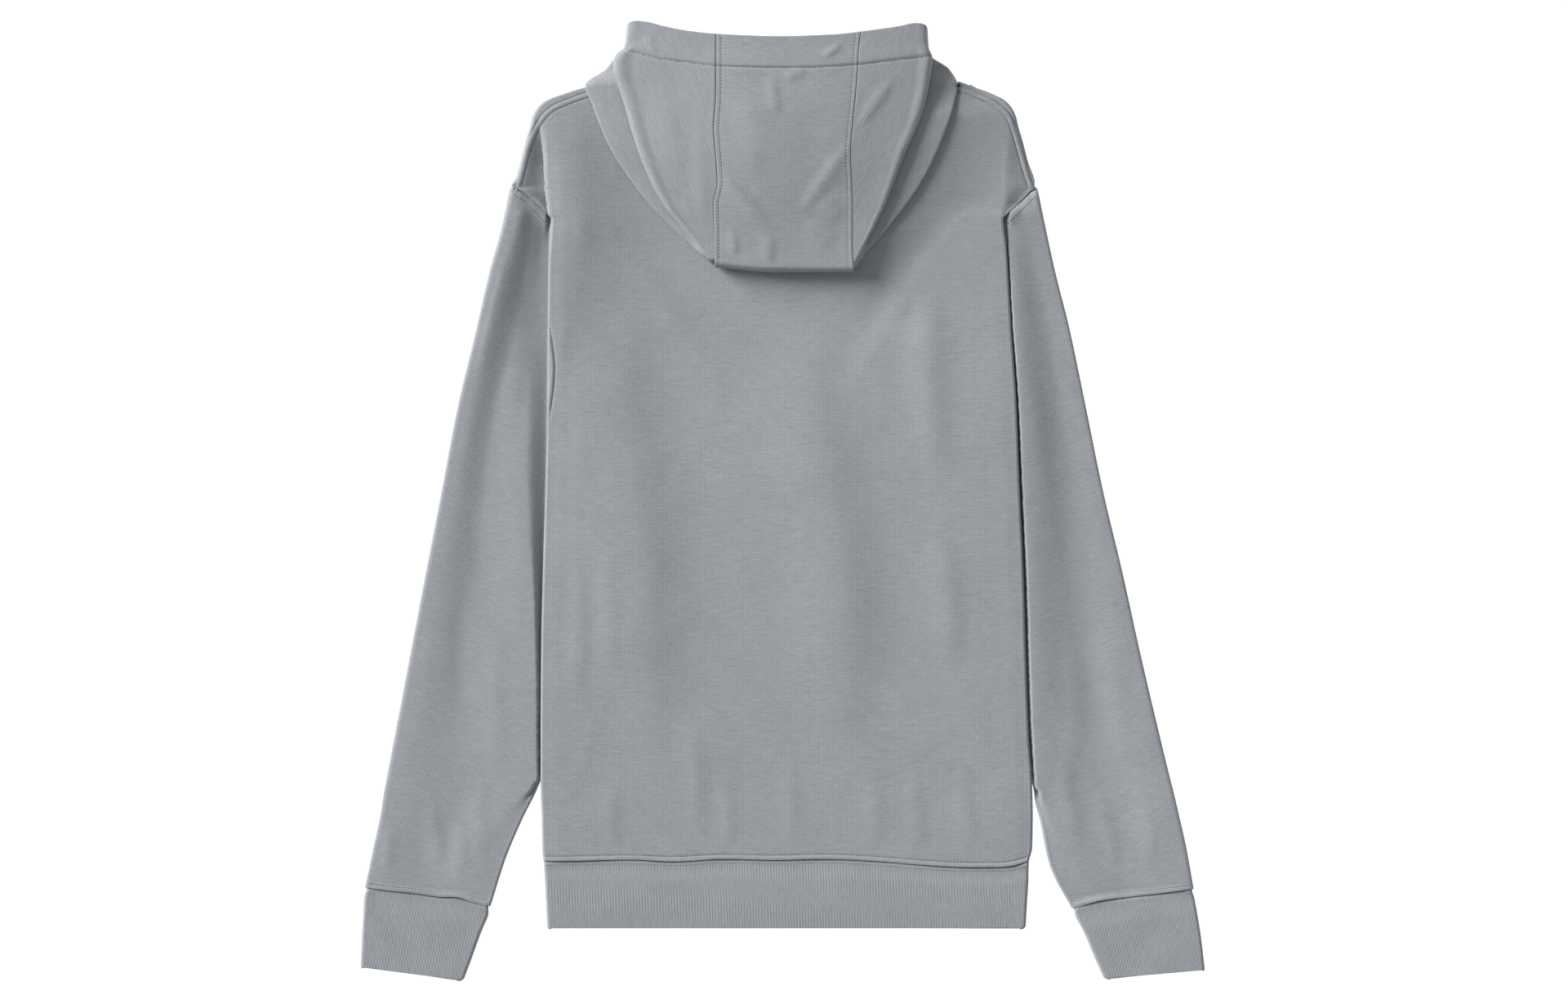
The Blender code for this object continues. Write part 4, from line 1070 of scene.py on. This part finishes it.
def folds_row(side, y, low, reach, last_reach, folded):
    """A row over the top layer and its folds, or where folded is 0 over a plain, slanted turn."""
    sign = SIDES[side]
    folds = zigzag(side, y, low, last_reach)
    outer = hood_top[side](y) - sign * FLEECE / 2
    wide = hood_strip[side](y) - hood_top[side](y)
    turn = bend(outer, top_middle(outer, y), low, sign, reach, len(folds))
    turn = [(x + wide * ease(i / (len(folds) - 1)), z) for i, (x, z) in enumerate(turn)]
    folds = [(mix(a, c, folded), y, mix(b, d, folded)) for (a, b), (c, d) in zip(turn, folds)]
    start = hood_seam[side](y) + sign * HOOD_SEAM_GAP / 2
    xs = [mix(start, folds[0][0], t) for t in TOP_SHARES]
    return [(x, y, top_middle(x, y)) for x in xs] + folds


def foot_height(x, y, sine):
    """Middle of the cloth at the hood's foot, where it turns over."""
    top, low = top_middle(x, y), nape_middle(x, y)
    return (top + low) / 2 + (top - low) / 2 * sine


def foot_arc(side, count):
    """The side panel's last row, along the centre strip's turn at the foot."""
    x = hood_seam[side](FOOT_Y)
    return [
        (
            x + SIDES[side] * (HOOD_SEAM_GAP / 2 + 0.9 * cosine),
            FOOT_Y - FOOT_BULGE * cosine,
            foot_height(x, FOOT_Y, sine),
        )
        for cosine, sine in half_turn(count)
    ]


def casing_field(x, y):
    """The folded casing along the brow: one more thickness, and a stitched groove at its lower edge."""
    signed = y - np.interp(x, casing_line[:, 0], casing_line[:, 1])
    step = 0.6 * ease((signed + 0.3) / 1.3) * (1.0 - 0.6 * ease((signed - 2.0) / 16.0))
    return step + groove(signed, CASING_STITCH, 0.6, 0.8)


def foot_bow(x, y):
    """The hood's lower edge hangs down, less towards its left corner."""
    return (1.0 - ease((y - 198.0) / 40.0)) * (4.2 * ease((-8.0 - x) / 56.0) - 3.4)


def hood_details(x, y, weight):
    """What creases, casing and wobble add to the hood's top layer."""
    soft = 1.5 * crease_field(x, y, HOOD_CREASES) + 0.22 * wobble(x, y, 30.0, 9.0)
    return weight * (soft + casing_field(x, y))


def at_rim(row, step):
    """The row bent to the rim's curve, less with each step down from the brow."""
    pull = 1.0 - ease(step / BROW_BEND)
    return [(x, y + pull * (rim_y(x) - BROW_Y), z) for x, y, z in row]


def fine_hood_side(side):
    """Two grids: over the neck's edge down to the floor, and folded on the back."""
    sign = SIDES[side]
    over, on_back = [], []
    for step in RIM_STEPS:
        y = BROW_Y - step
        low = FLEECE / 2
        row = at_rim(folds_row(side, y, low, OVER_REACH, OVER_REACH, ease((OPEN_Y - y) / 9.0)), step)
        last_x, last_y, _ = row[-1]
        down = step / (BROW_Y - NECK_Y)
        end_x = mix(last_x - sign * 7.0, THROAT_X + sign * 1.5, down)
        under = [mix(last_x, end_x, t) for t in UNDER_SHARES]
        over.append(row + [(x, last_y - neck_drop(x) * down**1.5, low) for x in under])
    for y in HOOD_YS:
        low = nape_middle(hood_strip[side](y) - sign * FLEECE / 2, y)
        reach = min(OVER_REACH, 0.6 * abs(hood_top[side](y) - hood_seam[side](y)))
        row = folds_row(side, y, low, reach, FOLD_REACH, ease((y - HOOD_FOOT_Y - 6.0) / 26.0))
        under = [mix(row[-1][0], row[0][0], t) for t in UNDER_SHARES]
        on_back.append(row + [(x, y, nape_middle(x, y)) for x in under])
    on_back.append(foot_arc(side, len(on_back[-1])))
    opened = enumerate(on_back[0][SHARED:])
    opened = [(x, y - NECK_SLIT * min(1.0, (k + 1) / 2), z) for k, (x, y, z) in opened]
    on_back[0] = over[-1][:SHARED] + opened

    grids = [np.array([spline(row, HOOD_COUNTS, SHARED - 1) for row in rows]) for rows in (over, on_back)]
    lowest = [np.full(grid.shape[:2], FLEECE / 2) for grid in grids]
    lowest[1][1:] = [[nape_middle(x, y) - 0.1 for x, y, _ in row] for row in grids[1][1:]]
    weight = np.zeros(grids[0].shape[1])
    weight[: TOP_COLUMNS + 1] = 1.0
    weight[TOP_COLUMNS : TOP_COLUMNS + 5] = (1.0, 0.85, 0.5, 0.2, 0.05)
    for grid, low in zip(grids, lowest):
        x, y, z = parts(grid)
        z[:] = np.maximum(z, low) + hood_details(x, y, weight)
        y += foot_bow(x, y)
    return grids


def fine_hood_centre():
    rows = []

    def add(y, height, shift=0.0):
        a, b = hood_seam["left"](y) + HOOD_SEAM_GAP / 2, hood_seam["right"](y) - HOOD_SEAM_GAP / 2
        xs = [mix(a, b, t) for t in STRIP_SHARES]
        rows.append([(x, y + shift, height(x, y)) for x in xs])

    for step in RIM_STEPS[:-1]:
        add(BROW_Y - step, top_middle)
        rows[-1] = at_rim(rows[-1], step)
    for y in HOOD_YS:
        add(y, top_middle)
    top_rows = len(rows)
    for cosine, sine in half_turn(17):
        add(FOOT_Y, lambda x, y: foot_height(x, y, sine), -2 * FOOT_BULGE * cosine)
    for y in HOOD_YS[::-3]:
        add(y, nape_middle)
    x, y, z = parts(np.array(rows))
    down = np.arange(len(rows))[:, None] - top_rows
    weight = np.clip(1.0 - down / 4.0, 0.0, 1.0)
    z = z + hood_details(x, y, weight)
    for run in (x - x[:, :1], x[:, -1:] - x):
        z = z + weight * (welt(run, -0.5, 3.0, 0.18, 1.3) + groove(run, HOOD_STITCH - 0.2, 0.16, 0.6))
    return joined(x, y + foot_bow(x, y), z)


# ---------------------------------------------------------------- materials

CLOTH = (0.33, 0.345, 0.365)
RIB_CLOTH = (0.318, 0.332, 0.352)
# The stitching is much darker than the cloth: its colour is partly the yarn's own and partly painted shade
# of the stitch holes and the dents between stitches.
THREAD_AND_HOLE_SHADE = (0.12, 0.127, 0.138)


def setup(node, values):
    """Set a node's inputs, each by its name or number."""
    for key, value in values.items():
        node.inputs[key].default_value = value
    return node


def new_material(name, values):
    material = bpy.data.materials.new(name)
    material.use_nodes = True
    tree = material.node_tree
    return material, tree.nodes, tree.links, setup(tree.nodes["Principled BSDF"], values)


def add_ramp(nodes, links, value, shader, colour, stops):
    """Colours by a value: each stop is its place and its shade of the colour."""
    ramp = nodes.new("ShaderNodeValToRGB")
    elements = ramp.color_ramp.elements
    elements[0].position, elements[1].position = stops[0][0], stops[-1][0]
    for place, _ in stops[1:-1]:
        elements.new(place)
    for element, (_, factor) in zip(elements, stops):
        element.color = (*[c * factor for c in colour], 1.0)
    links.new(value, ramp.inputs["Fac"])
    links.new(ramp.outputs["Color"], shader.inputs["Base Color"])


def cloth_material(name, colour, angle, rib):
    """Brushed jersey with slubs along its courses, or fine rib, turned by angle in plan."""
    material, nodes, links, shader = new_material(name, {
        "Roughness": 0.92,
        "Specular IOR Level": 0.25,
        "Sheen Weight": 0.1,
        "Sheen Roughness": 0.45,
        "Sheen Tint": (0.9, 0.93, 1.0, 1.0),
    })
    place = nodes.new("ShaderNodeTexCoord")
    turned = setup(nodes.new("ShaderNodeMapping"), {"Rotation": (0.0, 0.0, -math.radians(angle))})
    links.new(place.outputs["Object"], turned.inputs["Vector"])

    def pattern(scale, detail, rough=0.5, distort=0.0):
        size = setup(nodes.new("ShaderNodeVectorMath"), {1: scale})
        size.operation = "MULTIPLY"
        links.new(turned.outputs["Vector"], size.inputs[0])
        noise = setup(nodes.new("ShaderNodeTexNoise"), {
            "Scale": 1.0,
            "Detail": detail,
            "Roughness": rough,
            "Distortion": distort,
        })
        links.new(size.outputs["Vector"], noise.inputs["Vector"])
        return noise.outputs["Fac"]

    def total(terms):
        """The sum of each (value, weight)."""
        last = None
        for value, weight in terms:
            node = setup(nodes.new("ShaderNodeMath"), {1: weight, 2: 0.0})
            node.operation = "MULTIPLY_ADD"
            links.new(value, node.inputs[0])
            if last is not None:
                links.new(last, node.inputs[2])
            last = node.outputs["Value"]
        return last

    if rib:
        slub = pattern((700.0, 150.0, 300.0), 2.0)
        fine = pattern((1500.0, 500.0, 900.0), 2.0)
    else:
        slub = pattern((115.0, 900.0, 500.0), 3.0, 0.55, 0.25)
        fine = pattern((420.0, 1700.0, 1200.0), 2.0)
    cloud = pattern((26.0, 34.0, 30.0), 2.0)
    fuzz = pattern((1300.0, 1300.0, 1300.0), 2.0)
    tone = total([(slub, 0.5), (fine, 0.3), (cloud, 0.12), (fuzz, 0.08)])
    dark, light = (0.88, 1.12) if rib else (0.80, 1.19)
    add_ramp(nodes, links, tone, shader, colour, ((0.3, dark), (0.5, 1.0), (0.7, light)))
    wale = setup(nodes.new("ShaderNodeTexWave"), {
        "Scale": 130.0 if rib else 175.0,
        "Distortion": 1.2,
        "Detail": 1.0,
        "Detail Scale": 2.0,
    })
    wale.wave_type = "BANDS"
    wale.bands_direction = "X"
    links.new(turned.outputs["Vector"], wale.inputs["Vector"])
    relief = total([(slub, 0.5), (fine, 0.35), (fuzz, 0.25), (wale.outputs["Fac"], 0.18)])
    bump = setup(nodes.new("ShaderNodeBump"), {"Strength": 0.55, "Distance": 0.0005})
    links.new(relief, bump.inputs["Height"])
    links.new(bump.outputs["Normal"], shader.inputs["Normal"])
    return material


# Stitching yarn with a random tone, darker than the cloth so that it also paints the shade in the stitch
# holes and dents.
def thread_and_hole_shade_material():
    material, nodes, links, shader = new_material("thread_with_hole_shade", {"Roughness": 0.7, "Sheen Weight": 0.1})
    place = nodes.new("ShaderNodeTexCoord")
    noise = setup(nodes.new("ShaderNodeTexNoise"), {"Scale": 900.0, "Detail": 1.0})
    links.new(place.outputs["Object"], noise.inputs["Vector"])
    add_ramp(nodes, links, noise.outputs["Fac"], shader, THREAD_AND_HOLE_SHADE, ((0.35, 0.8), (0.65, 1.15)))
    return material


# ---------------------------------------------------------------- meshes

surfaces = []           # each cloth's surface, and half its wall
# Places along a stitch, from end to end, and how thick it is there
STITCH_RINGS = ((-1.0, 0.0), (-0.72, 0.72), (0.0, 1.0), (0.72, 0.72), (1.0, 0.0))
STITCH_SIDES = 6
STITCH_PITCH = 2.7      # from one stitch to the next
STITCH_LENGTH = 1.9


def add_piece(name, sheet, material):
    """A smooth object in the scene, from a bmesh."""
    bmesh.ops.recalc_face_normals(sheet, faces=sheet.faces)
    mesh = bpy.data.meshes.new(name)
    sheet.to_mesh(mesh)
    mesh.materials.append(material)
    mesh.shade_smooth()
    piece = bpy.data.objects.new(name, mesh)
    bpy.context.scene.collection.objects.link(piece)
    return piece


def cloth(name, grids, wall, material, closed):
    """A wall of cloth from grids of points at the middle of its thickness."""
    sheet = bmesh.new()
    for grid in grids:
        rows = [[sheet.verts.new([float(c) * MM for c in point]) for point in row] for row in grid]
        count = len(rows[0])
        for a, b in zip(rows, rows[1:]):
            for i in range(count if closed else count - 1):
                j = (i + 1) % count
                sheet.faces.new((a[i], a[j], b[j], b[i]))
    bmesh.ops.remove_doubles(sheet, verts=sheet.verts, dist=0.004 * MM)
    piece = add_piece(name, sheet, material)
    surfaces.append((BVHTree.FromBMesh(sheet), wall * MM / 2))
    sheet.free()
    thick = piece.modifiers.new("wall", "SOLIDIFY")
    thick.thickness = wall * MM
    thick.offset = 0.0
    return piece


def on_surface(x, y, from_below=False):
    """The place on the outermost cloth over or under a plan point, in metres, and its normal."""
    start = Vector((x * MM, y * MM, -0.1 if from_below else 0.2))
    way = Vector((0, 0, 1.0 if from_below else -1.0))
    best = None
    for tree, half in surfaces:
        place, normal, _, distance = tree.ray_cast(start, way)
        if place is None:
            continue
        if normal.dot(way) > 0:
            normal = -normal
        if best is None or distance < best[2]:
            best = (place + normal * half, normal, distance)
    return best


def stitch_row(name, path, material, width=0.72, from_below=False):
    """One piece with every stitch of a row, each a short, rounded length of sewing yarn pulled into the
    cloth.
    """
    sheet = bmesh.new()
    centres = even_path(path, STITCH_PITCH)
    for a, b in zip(centres, centres[1:]):
        centre = (a + b) / 2
        found = on_surface(*centre, from_below)
        ends = [on_surface(*(centre + (b - a) * s), from_below) for s in (-0.3, 0.3)]
        if found is None or None in ends or abs(ends[0][0].z - ends[1][0].z) > 1.5 * MM:
            continue
        place, normal, _ = found
        along = (ends[1][0] - ends[0][0]).normalized()
        across = normal.cross(along).normalized()
        up = along.cross(across)
        rings = []
        for reach, size in STITCH_RINGS:
            rise = 0.06 - 0.16 * reach * reach
            middle = place + up * rise * MM + along * reach * STITCH_LENGTH / 2 * MM
            ring = []
            for k in range(STITCH_SIDES if size else 1):
                angle = 2 * math.pi * k / STITCH_SIDES
                shift = across * math.cos(angle) * width / 2 + up * math.sin(angle) * width * 0.36
                ring.append(sheet.verts.new(middle + shift * size * MM))
            rings.append(ring)
        for low, high in zip(rings, rings[1:]):
            for k in range(STITCH_SIDES):
                corners = [low[k % len(low)], low[(k + 1) % len(low)]]
                corners += [high[(k + 1) % len(high)], high[k % len(high)]]
                sheet.faces.new(list(dict.fromkeys(corners)))
    piece = add_piece(name, sheet, material)
    sheet.free()
    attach(piece, "root")


# ---------------------------------------------------------------- build

def build_cloths():
    # Name, grids, how far the knit is turned, flat size and area in metres, and what it rests on
    cuts = (
        ("back", [fine_back()], 0.0, (0.46, 0.64), 0.256, ["front"]),
        ("front", [fine_front()], 0.0, (0.46, 0.64), 0.242, ["sleeve_left", "sleeve_right", "floor"]),
        ("sleeve_left", [fine_sleeve("left")], -14.0, (0.46, 0.60), 0.162, ["floor"]),
        ("sleeve_right", [fine_sleeve("right")], 14.0, (0.44, 0.60), 0.145, ["floor"]),
        ("hood_left", fine_hood_side("left"), -62.0, (0.27, 0.20), 0.037, ["back"]),
        ("hood_right", fine_hood_side("right"), 62.0, (0.25, 0.20), 0.031, ["back"]),
        ("hood_centre", [fine_hood_centre()], 0.0, (0.122, 0.355), 0.040, ["back"]),
        ("hem_band", [fine_hem_band()], 0.0, (0.81, 0.060), 0.048, ["floor"]),
        ("cuff_left", [fine_cuff("left")], 14.0, (0.20, 0.066), 0.0125, ["floor"]),
        ("cuff_right", [fine_cuff("right")], -14.0, (0.20, 0.066), 0.0125, ["floor"]),
    )
    for name, grids, angle, flat, area, rests_on in cuts:
        rib = name in ("hem_band", "cuff_left", "cuff_right")
        material = cloth_material(name, RIB_CLOTH if rib else CLOTH, angle, rib)
        closed = rib or name in ("sleeve_left", "sleeve_right")
        piece = cloth(name + "_cloth", grids, RIB if rib else FLEECE, material, closed)
        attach(piece, "root")
        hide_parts(name)
        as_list(rests_on)


def build_stitches():
    thread_with_hole_shade = thread_and_hole_shade_material()
    for side, path in (("left", SHOULDER_LEFT), ("right", SHOULDER_RIGHT)):
        path = offset_path(even_path(path, 4.0), -SHOULDER_STITCH * SIDES[side])[3:-1]
        stitch_row("stitches_shoulder_" + side, path, thread_with_hole_shade)
    for side, sign in SIDES.items():
        cap = even_path([(armhole[side](v), v) for v in span(232.0, 257.0, 6)], 3.0)
        stitch_row("stitches_armhole_" + side, offset_path(cap, -sign * ARMHOLE_STITCH), thread_with_hole_shade)
        ax, ay, bx, by = SLEEVES[side][-1][:4]
        xs = np.array(span(ax - 3.0 * sign, bx + 3.0 * sign, 24))
        ys = mix(ay, by, (xs - ax) / (bx - ax))
        ys = ys + cuff_shift(side, xs, ys) + CUFF_STITCH
        stitch_row("stitches_cuff_" + side, np.stack([xs, ys], axis=1), thread_with_hole_shade)
        ys = np.array(span(382.0, 199.0, 24))
        xs = np.array([hood_seam[side](y) - sign * HOOD_STITCH for y in ys])
        stitch_row("stitches_hood_" + side, np.stack([xs, ys + foot_bow(xs, ys)], axis=1), thread_with_hole_shade)
    stitch_row("stitches_side_arc", SIDE_ARC, thread_with_hole_shade)
    stitch_row("stitches_casing", offset_path(casing_line, CASING_STITCH)[1:-1], thread_with_hole_shade)
    stitch_row("stitches_hem", hem_stitch_line, thread_with_hole_shade)
    lower = offset_path(hem_stitch_line, -HEM_SEAM_DROP - BAND_STITCH)
    stitch_row("stitches_hem_lower", lower, thread_with_hole_shade, width=0.45)
    stitch_row("stitches_hem_front", hem_stitch_line, thread_with_hole_shade, from_below=True)


# ---------------------------------------------------------------- stage

PIXEL = 0.676 * MM      # the photo's scale
FRAME_WIDTH = 1920 * PIXEL
VIEW_X = 0.7 * MM
VIEW_Y = -1.7 * MM
CAMERA_HEIGHT = 6.0     # above the garment's middle
GARMENT_MIDDLE = 10 * MM
KEY_ELEVATION = 24.0
KEY_AZIMUTH = 151.0
KEY_SPREAD = 34.0       # the soft light's width, in degrees
KEY_POWER = 4.75
SKY = 0.34
GLOW = 1.0              # the paper's own light, which keeps it white
SENSOR = 36.0


def build_stage():
    scene = bpy.context.scene
    scene.view_settings.view_transform = "Standard"
    world = bpy.data.worlds.new("studio")
    world.use_nodes = True
    setup(world.node_tree.nodes["Background"], {"Color": (0.97, 0.985, 1.0, 1.0), "Strength": SKY})
    scene.world = world

    bpy.ops.mesh.primitive_plane_add(size=8.0, location=(0.0, 0.0, -0.0003))
    floor = bpy.context.object
    floor.name = "floor"
    paper, *_ = new_material("paper", {
        "Base Color": (0.15, 0.15, 0.15, 1.0),
        "Roughness": 0.95,
        "Specular IOR Level": 0.0,
        "Emission Color": (1.0, 1.0, 1.0, 1.0),
        "Emission Strength": GLOW,
    })
    floor.data.materials.append(paper)

    key = bpy.data.lights.new("key", "SUN")
    key.angle = math.radians(KEY_SPREAD)
    key.energy = KEY_POWER
    lamp = bpy.data.objects.new("key", key)
    up, round_to = math.radians(KEY_ELEVATION), math.radians(KEY_AZIMUTH)
    way = Vector((math.cos(up) * math.cos(round_to), math.cos(up) * math.sin(round_to), math.sin(up)))
    lamp.location = way * 3.0
    lamp.rotation_euler = (-way).to_track_quat("-Z", "Y").to_euler()
    scene.collection.objects.link(lamp)

    lens = bpy.data.cameras.new("camera")
    lens.sensor_width = SENSOR
    lens.lens = SENSOR * CAMERA_HEIGHT / FRAME_WIDTH
    lens.clip_end = 50.0
    camera = bpy.data.objects.new("camera", lens)
    camera.location = (VIEW_X, VIEW_Y, CAMERA_HEIGHT + GARMENT_MIDDLE)
    scene.collection.objects.link(camera)
    scene.camera = camera


build_stage()
build_cloths()
build_stitches()
